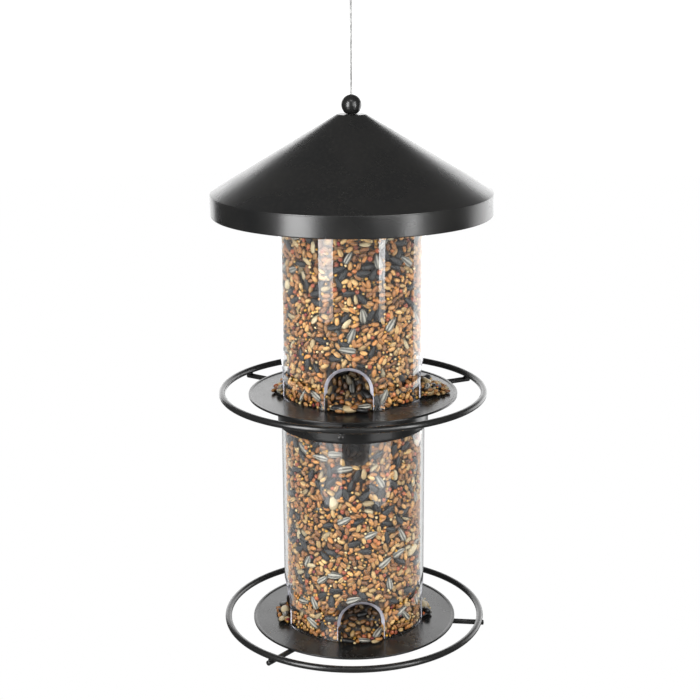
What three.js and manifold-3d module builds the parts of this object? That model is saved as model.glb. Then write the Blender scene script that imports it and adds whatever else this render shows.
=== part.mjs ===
// A hanging two-level seed feeder for garden birds: two clear tubes stacked on round trays,
// a conical roof that slides up the steel cable, and a round wire perch about each tray.
// Millimetres, +Z up. The origin is the point inside the hanging loop where a hook bears.
import * as THREE from "three";
import { mergeVertices } from "three/addons/utils/BufferGeometryUtils.js";
import Module from "manifold-3d";

// ---- Driving dimensions ----
const TUBE_DIAMETER = 110;
const TUBE_WALL = 2;
const LEVEL_PITCH = 184.5; // from one tray to the next
const SHEET = 1; // pressed steel of trays, collar and roof
const GAP = 0.3; // between pieces that touch

const TRAY_DIAMETER = 160;
const TRAY_LIP = 0.6; // how far the rolled edge stands over the tray
const TRAY_LIP_WIDTH = 1.8;
const DOME_HEIGHT = 12; // pressed up in the middle of the bottom tray
const DOME_DIAMETER = 64;
const DOME_TOP_DIAMETER = 18;
const SEED_HOLE_DIAMETER = 36; // in the middle tray, lets seed down to the lower tube
const SEED_HOLE_FLANGE = 2.8;

const PERCH_DIAMETER = 200; // to the middle of the wire
const PERCH_WIRE = 5;
const SPOKE_WIRE = 4;
const SPOKE_OVERHANG = 3.5; // past the middle of the perch wire
const BOTTOM_SPOKE_ANGLES = [113, 231, 353]; // degrees, anticlockwise from +X seen from above
const MIDDLE_SPOKE_ANGLES = [26, 145, 265];

const PORTS = 4; // feeding arches in each tube
const PORT_WIDTH = 35.5;
const PORT_HEIGHT = 33.5;
const LOWER_PORT_ANGLE = 275.7; // degrees, middle of the front arch
const UPPER_PORT_ANGLE = 266.5;
const LUG_WIDTH = 2;
const LUG_THICKNESS = 1.6;
const LUG_HEIGHT = 10;

const COLLAR_CLEARANCE = 1.5; // from the tube to the collar
const COLLAR_SHEET = 1.3;
const COLLAR_HEIGHT = 22;

const ROOF_DIAMETER = 210;
const ROOF_SLOPE = THREE.MathUtils.degToRad(31.2);
const ROOF_TOP_DIAMETER = 21; // the flat under the ball
const RIM_HEIGHT = 14.5;
const RIM_HEM_WIDTH = 2.6;
const RIM_HEM_HEIGHT = 2.6;

const BALL_DIAMETER = 15;
const BALL_SEAT_DIAMETER = 8;
const STEM_DIAMETER = 6;
const NUT_FLATS = 10;
const NUT_HEIGHT = 5;
const WASHER_THICKNESS = 1.2;
const ROOF_WASHER_DIAMETER = 18;

const CABLE_DIAMETER = 1.4;
const ANCHOR_WASHER_DIAMETER = 14;
const ANCHOR_SLEEVE_DIAMETER = 5;
const ANCHOR_SLEEVE_LENGTH = 9;
const ROOF_LIFT = 90; // travel of the roof up the cable
const LOOP_SLEEVE_LENGTH = 10;
const LOOP_SLEEVE_DEPTH = 4.4;
const LOOP_SLEEVE_WIDTH = 6.7;
const LOOP_WIDTH = 22;
const LOOP_HEIGHT = 34;

const WALL_SEED_DROP = 16; // how far the lower seed slopes down from the hole to the tube
const TOP_SEED_ROOM = 8; // from the seed to the mouth of the upper tube

const ROUND_STEPS = 60; // sides of the large turned pieces
const FINE_STEPS = 24; // sides of the small turned pieces

// ---- Derived radii ----
const TUBE_OUTER = TUBE_DIAMETER / 2;
const TUBE_INNER = TUBE_OUTER - TUBE_WALL;
const TRAY_RADIUS = TRAY_DIAMETER / 2;
const PERCH_RADIUS = PERCH_DIAMETER / 2;
const SEED_RADIUS = TUBE_INNER - GAP;
const COLLAR_INNER = TUBE_OUTER + COLLAR_CLEARANCE;
const COLLAR_OUTER = COLLAR_INNER + COLLAR_SHEET;
const ROOF_RADIUS = ROOF_DIAMETER / 2;
const CABLE_RADIUS = CABLE_DIAMETER / 2;
const CABLE_BORE = CABLE_RADIUS + GAP;

// ---- Derived heights, from the lowest wire up ----
const SPOKE_Z = SPOKE_WIRE / 2;
const PERCH_Z = SPOKE_WIRE + GAP + PERCH_WIRE / 2;
const TRAY_UNDER = SPOKE_WIRE + GAP;
const TRAY_TOP = TRAY_UNDER + SHEET;
const DOME_TOP = TRAY_TOP + DOME_HEIGHT;
const MIDDLE_UNDER = TRAY_UNDER + LEVEL_PITCH;
const MIDDLE_TOP = TRAY_TOP + LEVEL_PITCH;
const TUBE_LENGTH = LEVEL_PITCH - SHEET - 2 * GAP;
const LOWER_TUBE_Z = TRAY_TOP + GAP;
const UPPER_TUBE_Z = MIDDLE_TOP + GAP;
const UPPER_TUBE_TOP = UPPER_TUBE_Z + TUBE_LENGTH;
const COLLAR_TOP = MIDDLE_UNDER - GAP;
const SLOPE = Math.tan(ROOF_SLOPE);
const ROOF_RISE = SHEET / Math.cos(ROOF_SLOPE); // upright thickness of the sloping sheet
const ROOF_TOP = roofUnder(ROOF_TOP_DIAMETER / 2) + ROOF_RISE;
const RIM_TOP = roofUnder(ROOF_RADIUS) - GAP;
const BALL_BOTTOM = ROOF_TOP + GAP;
const BALL_Z = BALL_BOTTOM + (BALL_DIAMETER / 2) * ballSeatCosine();
const BALL_TOP = BALL_Z + BALL_DIAMETER / 2;
const ANCHOR_WASHER_TOP = DOME_TOP - SHEET - GAP;
const ANCHOR_SLEEVE_TOP = ANCHOR_WASHER_TOP - WASHER_THICKNESS - GAP;
const CABLE_BOTTOM = ANCHOR_SLEEVE_TOP - ANCHOR_SLEEVE_LENGTH - 1;
const LOOP_SLEEVE_Z = BALL_TOP + ROOF_LIFT + 6;
const LOOP_SLEEVE_TOP = LOOP_SLEEVE_Z + LOOP_SLEEVE_LENGTH;
const HOOK_Z = LOOP_SLEEVE_TOP + LOOP_HEIGHT - CABLE_RADIUS;

// Height of the roof's inside at a radius: the cone rests on the mouth of the upper tube.
function roofUnder(radius) {
  return UPPER_TUBE_TOP + GAP + (TUBE_OUTER - radius) * SLOPE;
}

// Cosine of the angle at which the ball is cut flat to sit on the roof.
function ballSeatCosine() {
  const sine = BALL_SEAT_DIAMETER / BALL_DIAMETER;
  return Math.sqrt(1 - sine * sine);
}

// ---- Materials ----
function standard(color, roughness, metalness) {
  return new THREE.MeshStandardMaterial({ color, roughness, metalness });
}
const blackPaint = standard(0x23231f, 0.38, 0.4);
const clearPlastic = new THREE.MeshStandardMaterial({
  color: 0xe6ecee,
  roughness: 0.08,
  metalness: 0,
  transparent: true,
  opacity: 0.3,
});
const steelCable = standard(0xb7bbb8, 0.35, 0.9);
const zincPlate = standard(0xa9acad, 0.4, 0.9);
const softAluminium = standard(0xb4b7b9, 0.45, 0.9);
const mixedSeed = standard(0x9a7446, 0.8, 0);

// ---- Solids ----
const wasm = await Module();
wasm.setup();

// A manifold-3d solid of a geometry.
function solidOf(geometry) {
  const bare = geometry.clone();
  bare.deleteAttribute("normal");
  bare.deleteAttribute("uv");
  const merged = mergeVertices(bare, 1e-4);
  return new wasm.Manifold(
    new wasm.Mesh({
      numProp: 3,
      vertProperties: merged.attributes.position.array,
      triVerts: new Uint32Array(merged.index.array),
    }),
  );
}

// A geometry of a manifold-3d solid.
function geometryOf(solid) {
  const mesh = solid.getMesh();
  const geometry = new THREE.BufferGeometry();
  geometry.setAttribute("position", new THREE.BufferAttribute(mesh.vertProperties, 3));
  geometry.setIndex(new THREE.BufferAttribute(mesh.triVerts, 1));
  geometry.computeVertexNormals();
  return geometry;
}

// A geometry with others cut away from it.
function cut(geometry, cutters) {
  let solid = solidOf(geometry);
  for (const cutter of cutters) solid = solid.subtract(solidOf(cutter));
  return geometryOf(solid);
}

// A profile of [radius, height] corners turned about Z. It runs anticlockwise, seen with the
// radius to the right and the height up, and closes on itself.
function turned(profile, steps = ROUND_STEPS) {
  const closed = [...profile, profile[0]];
  const points = closed.map(([radius, height]) => new THREE.Vector2(radius, height));
  return new THREE.LatheGeometry(points, steps).rotateX(Math.PI / 2);
}

// A round bar along Z.
function bar(radius, bottom, top, steps = FINE_STEPS) {
  return new THREE.CylinderGeometry(radius, radius, top - bottom, steps)
    .rotateX(Math.PI / 2)
    .translate(0, 0, (bottom + top) / 2);
}

// A washer or sleeve: a turned ring of rectangular section.
function sleeve(inner, outer, bottom, top) {
  const profile = [
    [inner, bottom],
    [outer, bottom],
    [outer, top],
    [inner, top],
  ];
  return turned(profile, FINE_STEPS);
}

// ---- The group that holds the feeder, hung so that the hook's point is the origin ----
const feeder = new THREE.Group();
feeder.position.z = -HOOK_Z;

function add(name, geometry, material, parent = feeder) {
  const mesh = new THREE.Mesh(geometry, material);
  mesh.name = name;
  parent.add(mesh);
  return mesh;
}

// Steps of a quarter turn or other arc in a profile, ends included.
function arc(centreRadius, centreHeight, radius, from, to, steps) {
  return Array.from({ length: steps + 1 }, (_, i) => {
    const angle = THREE.MathUtils.degToRad(from + ((to - from) * i) / steps);
    return [centreRadius + radius * Math.cos(angle), centreHeight + radius * Math.sin(angle)];
  });
}

// ---- Trays ----
// The outer edge of a tray's profile: under, outside, and the rolled lip on top.
function trayEdge(under, top) {
  return [
    [TRAY_RADIUS, under],
    [TRAY_RADIUS, top + TRAY_LIP],
    [TRAY_RADIUS - TRAY_LIP_WIDTH, top + TRAY_LIP],
    [TRAY_RADIUS - TRAY_LIP_WIDTH - TRAY_LIP, top],
  ];
}

// The bottom tray has a dome that sheds seed towards the arches and hides the cable's end.
function bottomTray() {
  const foot = DOME_DIAMETER / 2;
  const head = DOME_TOP_DIAMETER / 2;
  return turned([
    [CABLE_BORE, DOME_TOP - SHEET],
    [head - SHEET / 2, DOME_TOP - SHEET],
    [foot - SHEET, TRAY_UNDER],
    ...trayEdge(TRAY_UNDER, TRAY_TOP),
    [foot, TRAY_TOP],
    [head, DOME_TOP],
    [CABLE_BORE, DOME_TOP],
  ]);
}

// The middle tray has an open middle with its edge turned down.
function middleTray() {
  const hole = SEED_HOLE_DIAMETER / 2;
  return turned([
    [hole, MIDDLE_TOP - SEED_HOLE_FLANGE],
    [hole + SHEET, MIDDLE_TOP - SEED_HOLE_FLANGE],
    [hole + SHEET, MIDDLE_UNDER],
    ...trayEdge(MIDDLE_UNDER, MIDDLE_TOP),
    [hole, MIDDLE_TOP],
  ]);
}

// The collar under the middle tray slips over the mouth of the lower tube.
function middleCollar() {
  return turned([
    [COLLAR_INNER, COLLAR_TOP - COLLAR_HEIGHT],
    [COLLAR_OUTER, COLLAR_TOP - COLLAR_HEIGHT],
    [COLLAR_OUTER, COLLAR_TOP],
    [COLLAR_INNER, COLLAR_TOP],
  ]);
}

// A wire perch with the three spokes that carry it, raised to its level.
function addPerch(level, lift, angles, spokeStart) {
  const ring = new THREE.TorusGeometry(PERCH_RADIUS, PERCH_WIRE / 2, 10, 72);
  add(level + "_perch", ring.translate(0, 0, PERCH_Z + lift), blackPaint);
  const spokeEnd = PERCH_RADIUS + SPOKE_OVERHANG;
  angles.forEach((angle, i) => {
    const spoke = bar(SPOKE_WIRE / 2, spokeStart, spokeEnd, 12)
      .rotateY(Math.PI / 2)
      .rotateZ(THREE.MathUtils.degToRad(angle))
      .translate(0, 0, SPOKE_Z + lift);
    add(level + "_spoke_" + (i + 1), spoke, blackPaint);
  });
}

// ---- Tubes ----
// The arch of one port as a radial bar, for cutting: a rectangle under a half circle.
function portCutter(bottom, angle) {
  const half = PORT_WIDTH / 2;
  const spring = PORT_HEIGHT - half;
  const arch = new THREE.Shape();
  arch.moveTo(-half, -SHEET);
  arch.lineTo(half, -SHEET);
  arch.lineTo(half, spring);
  arch.absarc(0, spring, half, 0, Math.PI, false);
  arch.closePath();
  return new THREE.ExtrudeGeometry(arch, {
    depth: TUBE_OUTER,
    bevelEnabled: false,
    curveSegments: 16,
  })
    .rotateX(Math.PI / 2)
    .rotateZ(Math.PI)
    .translate(0, TUBE_OUTER / 2, bottom)
    .rotateZ(THREE.MathUtils.degToRad(angle - 90));
}

// The angles of a tube's ports.
function portAngles(first) {
  return Array.from({ length: PORTS }, (_, i) => first + (360 / PORTS) * i);
}

// A clear tube with its feeding arches cut up from its lower edge.
function tube(bottom, firstPort) {
  const wall = turned([
    [TUBE_INNER, bottom],
    [TUBE_OUTER, bottom],
    [TUBE_OUTER, bottom + TUBE_LENGTH],
    [TUBE_INNER, bottom + TUBE_LENGTH],
  ]);
  return cut(
    wall,
    portAngles(firstPort).map((angle) => portCutter(bottom, angle)),
  );
}

// The upright lugs that stand in one side of each arch and keep the tube centred.
function addLugs(level, trayTop, firstPort) {
  const across = LUG_WIDTH / 2 + GAP - PORT_WIDTH / 2;
  const out = TUBE_INNER - LUG_THICKNESS / 2;
  portAngles(firstPort).forEach((angle, i) => {
    const lug = new THREE.BoxGeometry(LUG_THICKNESS, LUG_WIDTH, LUG_HEIGHT)
      .translate(out, across, trayTop + GAP + LUG_HEIGHT / 2)
      .rotateZ(THREE.MathUtils.degToRad(angle));
    add(level + "_lug_" + (i + 1), lug, blackPaint);
  });
}

// ---- Seed ----
// The seed in the lower tube covers the dome, slopes up to the hole and fills it.
function lowerSeed() {
  const foot = DOME_DIAMETER / 2;
  const head = DOME_TOP_DIAMETER / 2;
  const neck = SEED_HOLE_DIAMETER / 2 - 2 * GAP;
  const shoulder = MIDDLE_TOP - SEED_HOLE_FLANGE - 2 * GAP;
  return turned([
    [CABLE_BORE, DOME_TOP + GAP],
    [head + GAP, DOME_TOP + GAP],
    [foot + GAP, TRAY_TOP + GAP],
    [SEED_RADIUS, TRAY_TOP + GAP],
    [SEED_RADIUS, shoulder - WALL_SEED_DROP],
    [neck, shoulder],
    [neck, MIDDLE_TOP],
    [CABLE_BORE, MIDDLE_TOP],
  ]);
}

// The seed in the upper tube stands on the middle tray and ends short of the mouth.
function upperSeed() {
  return turned([
    [CABLE_BORE, UPPER_TUBE_Z],
    [SEED_RADIUS, UPPER_TUBE_Z],
    [SEED_RADIUS, UPPER_TUBE_TOP - TOP_SEED_ROOM],
    [CABLE_BORE, UPPER_TUBE_TOP - TOP_SEED_ROOM],
  ]);
}

// ---- Roof ----
// The cone, with the flat that the ball sits on and the hole for the ball's stem.
function roofCone() {
  const top = ROOF_TOP_DIAMETER / 2;
  const hole = STEM_DIAMETER / 2 + GAP;
  return turned([
    [hole, ROOF_TOP - SHEET],
    [top - SHEET / 2, ROOF_TOP - SHEET],
    [ROOF_RADIUS, roofUnder(ROOF_RADIUS)],
    [ROOF_RADIUS, roofUnder(ROOF_RADIUS) + ROOF_RISE],
    [top, ROOF_TOP],
    [hole, ROOF_TOP],
  ]);
}

// The upright band under the cone's edge, with its lower edge folded inwards.
function roofRim() {
  const bottom = RIM_TOP - RIM_HEIGHT;
  const inner = ROOF_RADIUS - SHEET;
  return turned([
    [ROOF_RADIUS - RIM_HEM_WIDTH, bottom],
    [ROOF_RADIUS, bottom],
    [ROOF_RADIUS, RIM_TOP],
    [inner, RIM_TOP],
    [inner, bottom + RIM_HEM_HEIGHT],
    [ROOF_RADIUS - RIM_HEM_WIDTH, bottom + RIM_HEM_HEIGHT],
  ]);
}

// The ball and the hollow stem that reaches down through the roof.
function finialBall() {
  const stem = STEM_DIAMETER / 2;
  const stemBottom = ROOF_TOP - SHEET - WASHER_THICKNESS - NUT_HEIGHT - 3 * GAP - 1;
  const radius = BALL_DIAMETER / 2;
  const seat = THREE.MathUtils.radToDeg(Math.acos(BALL_SEAT_DIAMETER / BALL_DIAMETER));
  const bore = THREE.MathUtils.radToDeg(Math.acos(CABLE_BORE / radius));
  return turned(
    [
      [CABLE_BORE, stemBottom],
      [stem, stemBottom],
      [stem, BALL_BOTTOM],
      ...arc(0, BALL_Z, radius, -seat, bore, 12),
    ],
    FINE_STEPS,
  );
}

// The hexagon nut on the stem, under the roof.
function finialNut() {
  const corner = NUT_FLATS / 2 / Math.cos(Math.PI / 6);
  const corners = Array.from({ length: 6 }, (_, i) => {
    const angle = (i * Math.PI) / 3;
    return new THREE.Vector2(corner * Math.cos(angle), corner * Math.sin(angle));
  });
  const outline = new THREE.Shape(corners);
  const hole = new THREE.Path();
  hole.absarc(0, 0, STEM_DIAMETER / 2 + GAP, 0, 2 * Math.PI, true);
  outline.holes.push(hole);
  const top = ROOF_TOP - SHEET - WASHER_THICKNESS - 2 * GAP;
  return new THREE.ExtrudeGeometry(outline, {
    depth: NUT_HEIGHT,
    bevelEnabled: false,
    curveSegments: 12,
  }).translate(0, 0, top - NUT_HEIGHT);
}

// ---- Cable ----
// A round section for the cable, eight-sided.
function cableSection() {
  const section = new THREE.Shape();
  section.absarc(0, 0, CABLE_RADIUS, 0, 2 * Math.PI, false);
  return section;
}

// The cable along a path.
function cableAlong(path, steps) {
  return new THREE.ExtrudeGeometry(cableSection(), {
    steps,
    bevelEnabled: false,
    curveSegments: 8,
    extrudePath: path,
  });
}

// The straight run from the anchor under the bottom tray to the middle of the loop's sleeve.
function straightCable() {
  return cableAlong(
    new THREE.LineCurve3(
      new THREE.Vector3(0, 0, CABLE_BOTTOM),
      new THREE.Vector3(0, 0, LOOP_SLEEVE_Z + LOOP_SLEEVE_LENGTH * 0.4),
    ),
    1,
  );
}

// The loop above the sleeve, with both legs ending inside it.
function cableLoop() {
  const leg = CABLE_RADIUS + GAP / 2;
  const foot = LOOP_SLEEVE_TOP - LOOP_SLEEVE_LENGTH * 0.5 + GAP;
  const half = LOOP_WIDTH / 2 - CABLE_RADIUS;
  const rise = LOOP_HEIGHT;
  const points = [
    [-leg, foot],
    [-leg, LOOP_SLEEVE_TOP],
    [-half * 0.55, LOOP_SLEEVE_TOP + rise * 0.25],
    [-half, LOOP_SLEEVE_TOP + rise * 0.62],
    [-half * 0.62, LOOP_SLEEVE_TOP + rise * 0.91],
    [0, LOOP_SLEEVE_TOP + rise],
    [half * 0.62, LOOP_SLEEVE_TOP + rise * 0.91],
    [half, LOOP_SLEEVE_TOP + rise * 0.62],
    [half * 0.55, LOOP_SLEEVE_TOP + rise * 0.25],
    [leg, LOOP_SLEEVE_TOP],
    [leg, foot],
  ];
  const path = new THREE.CatmullRomCurve3(points.map(([x, z]) => new THREE.Vector3(x, 0, z)));
  return cableAlong(path, 40);
}

// The pressed sleeve: one hole below for the cable, a slot above for the loop's two legs.
function loopSleeve() {
  const bend = LOOP_SLEEVE_DEPTH / 2;
  const flat = LOOP_SLEEVE_WIDTH / 2 - bend;
  const oval = new THREE.Shape();
  oval.absarc(flat, 0, bend, -Math.PI / 2, Math.PI / 2, false);
  oval.absarc(-flat, 0, bend, Math.PI / 2, (3 * Math.PI) / 2, false);
  oval.closePath();
  const body = new THREE.ExtrudeGeometry(oval, {
    depth: LOOP_SLEEVE_LENGTH,
    bevelEnabled: false,
    curveSegments: 8,
  }).translate(0, 0, LOOP_SLEEVE_Z);
  const middle = LOOP_SLEEVE_Z + LOOP_SLEEVE_LENGTH * 0.5;
  const hole = bar(CABLE_BORE, LOOP_SLEEVE_Z - 1, middle - 0.5, 12);
  const slotWidth = 2 * (CABLE_DIAMETER + GAP * 1.5);
  const slotLength = LOOP_SLEEVE_LENGTH * 0.5 + 1;
  const slot = new THREE.BoxGeometry(slotWidth, CABLE_BORE * 2, slotLength).translate(
    0,
    0,
    middle + slotLength / 2,
  );
  return cut(body, [hole, slot]);
}

// ---- Assembly ----
add("bottom_tray", bottomTray(), blackPaint);
addPerch("bottom", 0, BOTTOM_SPOKE_ANGLES, DOME_DIAMETER / 2 + GAP);
addLugs("bottom", TRAY_TOP, LOWER_PORT_ANGLE);
add("lower_tube", tube(LOWER_TUBE_Z, LOWER_PORT_ANGLE), clearPlastic);
add("lower_seed", lowerSeed(), mixedSeed);

add("middle_tray", middleTray(), blackPaint);
add("middle_collar", middleCollar(), blackPaint);
addPerch("middle", LEVEL_PITCH, MIDDLE_SPOKE_ANGLES, COLLAR_OUTER + GAP);
addLugs("middle", MIDDLE_TOP, UPPER_PORT_ANGLE);
add("upper_tube", tube(UPPER_TUBE_Z, UPPER_PORT_ANGLE), clearPlastic);
add("upper_seed", upperSeed(), mixedSeed);

add("roof_cone", roofCone(), blackPaint);
add("roof_rim", roofRim(), blackPaint);
add("finial_ball", finialBall(), blackPaint);
const roofWasherTop = ROOF_TOP - SHEET - GAP;
const stemHole = STEM_DIAMETER / 2 + GAP;
add(
  "finial_washer",
  sleeve(stemHole, ROOF_WASHER_DIAMETER / 2, roofWasherTop - WASHER_THICKNESS, roofWasherTop),
  zincPlate,
);
add("finial_nut", finialNut(), zincPlate);

add("hanger_cable", straightCable(), steelCable);
add("hanger_loop", cableLoop(), steelCable);
add("loop_sleeve", loopSleeve(), softAluminium);
add(
  "anchor_washer",
  sleeve(
    CABLE_BORE,
    ANCHOR_WASHER_DIAMETER / 2,
    ANCHOR_WASHER_TOP - WASHER_THICKNESS,
    ANCHOR_WASHER_TOP,
  ),
  zincPlate,
);
add(
  "anchor_sleeve",
  sleeve(
    CABLE_BORE,
    ANCHOR_SLEEVE_DIAMETER / 2,
    ANCHOR_SLEEVE_TOP - ANCHOR_SLEEVE_LENGTH,
    ANCHOR_SLEEVE_TOP,
  ),
  softAluminium,
);

export default feeder;
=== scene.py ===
"""A hanging two-level seed feeder for garden birds, finished for a studio picture.

Two clear tubes of mixed seed stand on round black trays. A conical roof slides up the steel
cable that the whole feeder hangs from, and a round wire perch goes about each tray.
Everything is in metres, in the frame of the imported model, with +Z up.
"""

import logging
import math
from dataclasses import dataclass, field
from enum import Enum

import bpy
import numpy as np
from mathutils import Matrix, Vector


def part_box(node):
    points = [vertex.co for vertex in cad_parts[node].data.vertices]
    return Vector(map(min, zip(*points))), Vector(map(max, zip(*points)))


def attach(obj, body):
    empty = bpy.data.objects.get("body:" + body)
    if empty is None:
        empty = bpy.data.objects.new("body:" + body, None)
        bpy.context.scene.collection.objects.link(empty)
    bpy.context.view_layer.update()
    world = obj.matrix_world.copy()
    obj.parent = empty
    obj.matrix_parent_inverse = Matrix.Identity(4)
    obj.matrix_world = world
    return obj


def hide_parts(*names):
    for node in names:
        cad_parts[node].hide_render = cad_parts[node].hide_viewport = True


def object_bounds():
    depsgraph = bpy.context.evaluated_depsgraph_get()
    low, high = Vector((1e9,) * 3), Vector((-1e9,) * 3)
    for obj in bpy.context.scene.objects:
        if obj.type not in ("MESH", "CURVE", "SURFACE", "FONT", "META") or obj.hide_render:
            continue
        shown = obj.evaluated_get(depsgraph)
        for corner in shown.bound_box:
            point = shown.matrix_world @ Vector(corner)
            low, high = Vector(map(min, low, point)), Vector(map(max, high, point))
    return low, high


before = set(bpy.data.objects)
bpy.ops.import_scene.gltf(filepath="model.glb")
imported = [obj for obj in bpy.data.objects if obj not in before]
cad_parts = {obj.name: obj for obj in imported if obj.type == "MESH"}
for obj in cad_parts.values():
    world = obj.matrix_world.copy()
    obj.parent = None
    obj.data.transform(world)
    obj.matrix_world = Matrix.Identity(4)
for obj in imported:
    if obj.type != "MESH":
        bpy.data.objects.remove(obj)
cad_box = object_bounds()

MM = 0.001
TURN = 2 * math.pi
SEED_OF_CHANCE = 20  # starts every random choice, so each run gives the same seed heap

log = logging.getLogger("feeder")
Socket = bpy.types.NodeSocket
Node = bpy.types.Node
Tree = bpy.types.ShaderNodeTree
Material = bpy.types.Material
Piece = bpy.types.Object
Array = np.ndarray
Triple = tuple[float, float, float]


class Body(Enum):
    """The bodies that pieces move with."""

    FEEDER = "feeder"
    ROOF = "roof"
    FINIAL = "finial"


class Slot(Enum):
    """The material slots."""

    TRAY_PAINT = "tray_paint"
    ROOF_PAINT = "roof_paint"
    CLEAR_TUBE = "clear_tube"
    SEED = "seed"
    CABLE = "cable"
    SLEEVE = "sleeve"
    ZINC = "zinc"


# ---- places taken from the frame


@dataclass(frozen=True)
class Extent:
    """How far a turned piece of the frame reaches: its radius, bottom and top."""

    radius: float
    bottom: float
    top: float

    @staticmethod
    def of(node: str) -> "Extent":
        """Measure one piece of the frame.

        Args:
            node: The name of the piece.

        Returns:
            Its greatest radius about the cable and its lowest and highest height.
        """
        low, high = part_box(node)
        reach = max(abs(low.x), abs(high.x), abs(low.y), abs(high.y))
        return Extent(reach, low.z, high.z)


# ---- mesh making


def make_mesh(name: str, points: Array, faces: Array) -> bpy.types.Mesh:
    """Put points and faces into a new mesh with smooth faces.

    Args:
        name: The mesh's name.
        points: Corners, as rows of x, y and z.
        faces: Rows of four corner numbers. A face with three corners repeats its last one.

    Returns:
        The mesh.
    """
    mesh = bpy.data.meshes.new(name)
    three = faces[:, 2] == faces[:, 3]
    sizes = np.where(three, 3, 4).astype(np.int32)
    kept = np.ones(faces.shape, bool)
    kept[three, 3] = False
    corners = faces[kept].astype(np.int32)
    starts = np.concatenate([[0], np.cumsum(sizes)[:-1]]).astype(np.int32)
    mesh.vertices.add(len(points))
    mesh.vertices.foreach_set("co", points.astype(np.float32).ravel())
    mesh.loops.add(len(corners))
    mesh.loops.foreach_set("vertex_index", corners)
    mesh.polygons.add(len(faces))
    mesh.polygons.foreach_set("loop_start", starts)
    mesh.polygons.foreach_set("use_smooth", np.ones(len(faces), bool))
    mesh.update(calc_edges=True)
    mesh.validate()
    return mesh


def volume_of(points: Array, faces: Array) -> float:
    """Signed volume: the sum of the tetrahedra from the origin to each triangle of the faces.

    Args:
        points: Corners.
        faces: Rows of four corner numbers.

    Returns:
        The volume, less than nothing if the faces point inwards.
    """
    a, b, c, d = (points[faces[:, i]] for i in range(4))
    halves = (np.cross(a, b) * c).sum() + (np.cross(a, c) * d).sum()
    return float(halves) / 6


@dataclass
class Shape:
    """A closed surface: its points, its four-cornered faces and, if wanted, a colour a point."""

    points: Array
    faces: Array
    colours: Array | None = None

    def outward(self) -> "Shape":
        """Turn the faces round if they point inwards.

        Returns:
            The shape itself.
        """
        centred = self.points - self.points.mean(axis=0)
        if volume_of(centred, self.faces) < 0:
            self.faces = flipped(self.faces)
        return self

    @staticmethod
    def joined(shapes: list["Shape"]) -> "Shape":
        """Gather several shapes in one, each keeping its own points.

        Args:
            shapes: The shapes to gather.

        Returns:
            One shape with all their faces.
        """
        offsets = np.cumsum([0] + [len(s.points) for s in shapes[:-1]])
        points = np.concatenate([s.points for s in shapes])
        faces = np.concatenate([s.faces + o for s, o in zip(shapes, offsets)])
        if shapes[0].colours is None:
            return Shape(points, faces)
        return Shape(points, faces, np.concatenate([s.colours for s in shapes]))


def flipped(faces: Array) -> Array:
    """Turn faces round.

    Args:
        faces: Rows of four corner numbers, the last one repeated where there are three.

    Returns:
        The same faces seen from behind.
    """
    three = faces[:, 2] == faces[:, 3]
    back = faces[:, [3, 2, 1, 0]]
    back[three] = faces[three][:, [1, 0, 2, 2]]
    return back


def grid_faces(rows: int, columns: int, wrap_rows: bool, wrap_columns: bool) -> Array:
    """Faces of a grid of points numbered row by row.

    Args:
        rows: How many rows of points there are.
        columns: How many points each row has.
        wrap_rows: Whether the last row joins the first.
        wrap_columns: Whether the last column joins the first.

    Returns:
        Rows of four corner numbers.
    """
    i = np.arange(rows if wrap_rows else rows - 1)[:, None]
    j = np.arange(columns if wrap_columns else columns - 1)[None, :]
    down, across = (i + 1) % rows, (j + 1) % columns
    corners = [i * columns + j, i * columns + across, down * columns + across, down * columns + j]
    return np.stack([np.broadcast_to(c, (i.size, j.size)).ravel() for c in corners], axis=1)


def capped_faces(rows: int, columns: int) -> Array:
    """Faces of a grid wrapped round, with a pole at each end.

    Args:
        rows: How many rows of points there are.
        columns: How many points each row has.

    Returns:
        Rows of four corner numbers. The grid's points come first, then the pole before the first
        row and the pole after the last.
    """
    sides = grid_faces(rows, columns, False, True)
    j = np.arange(columns)
    following = (j + 1) % columns
    first, last = rows * columns, rows * columns + 1
    end = (rows - 1) * columns
    low = np.stack([np.full(columns, first), following, j, j], axis=1)
    high = np.stack([np.full(columns, last), end + j, end + following, end + following], axis=1)
    return np.concatenate([sides, low, high])


def capped(rings: Array, first: object, last: object) -> Shape:
    """Close a stack of rings with a pole at each end.

    Args:
        rings: The rings' points, ring by ring.
        first: The pole before the first ring.
        last: The pole after the last ring.

    Returns:
        The closed shape.
    """
    points = np.concatenate([rings.reshape(-1, 3), [first], [last]])
    return Shape(points, capped_faces(*rings.shape[:2])).outward()


def polar(radius: Array | float, angle: Array, height: Array | float) -> Array:
    """Points about the cable: (r cos a, r sin a, z).

    Args:
        radius: Their distances from it.
        angle: Their angles about it.
        height: Their heights.

    Returns:
        The points, with x, y and z as the last axis.
    """
    x, y = radius * np.cos(angle), radius * np.sin(angle)
    return np.stack(np.broadcast_arrays(x, y, height), axis=-1)


def squarish(wave: Array, power: float) -> Array:
    """A sine or cosine with its size raised to a power, which makes a round section squarer."""
    return np.sign(wave) * np.abs(wave) ** power


def smooth(share: Array | float) -> Array | float:
    """A share s eased at both ends: s^2 (3 - 2 s)."""
    return share**2 * (3 - 2 * share)


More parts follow.
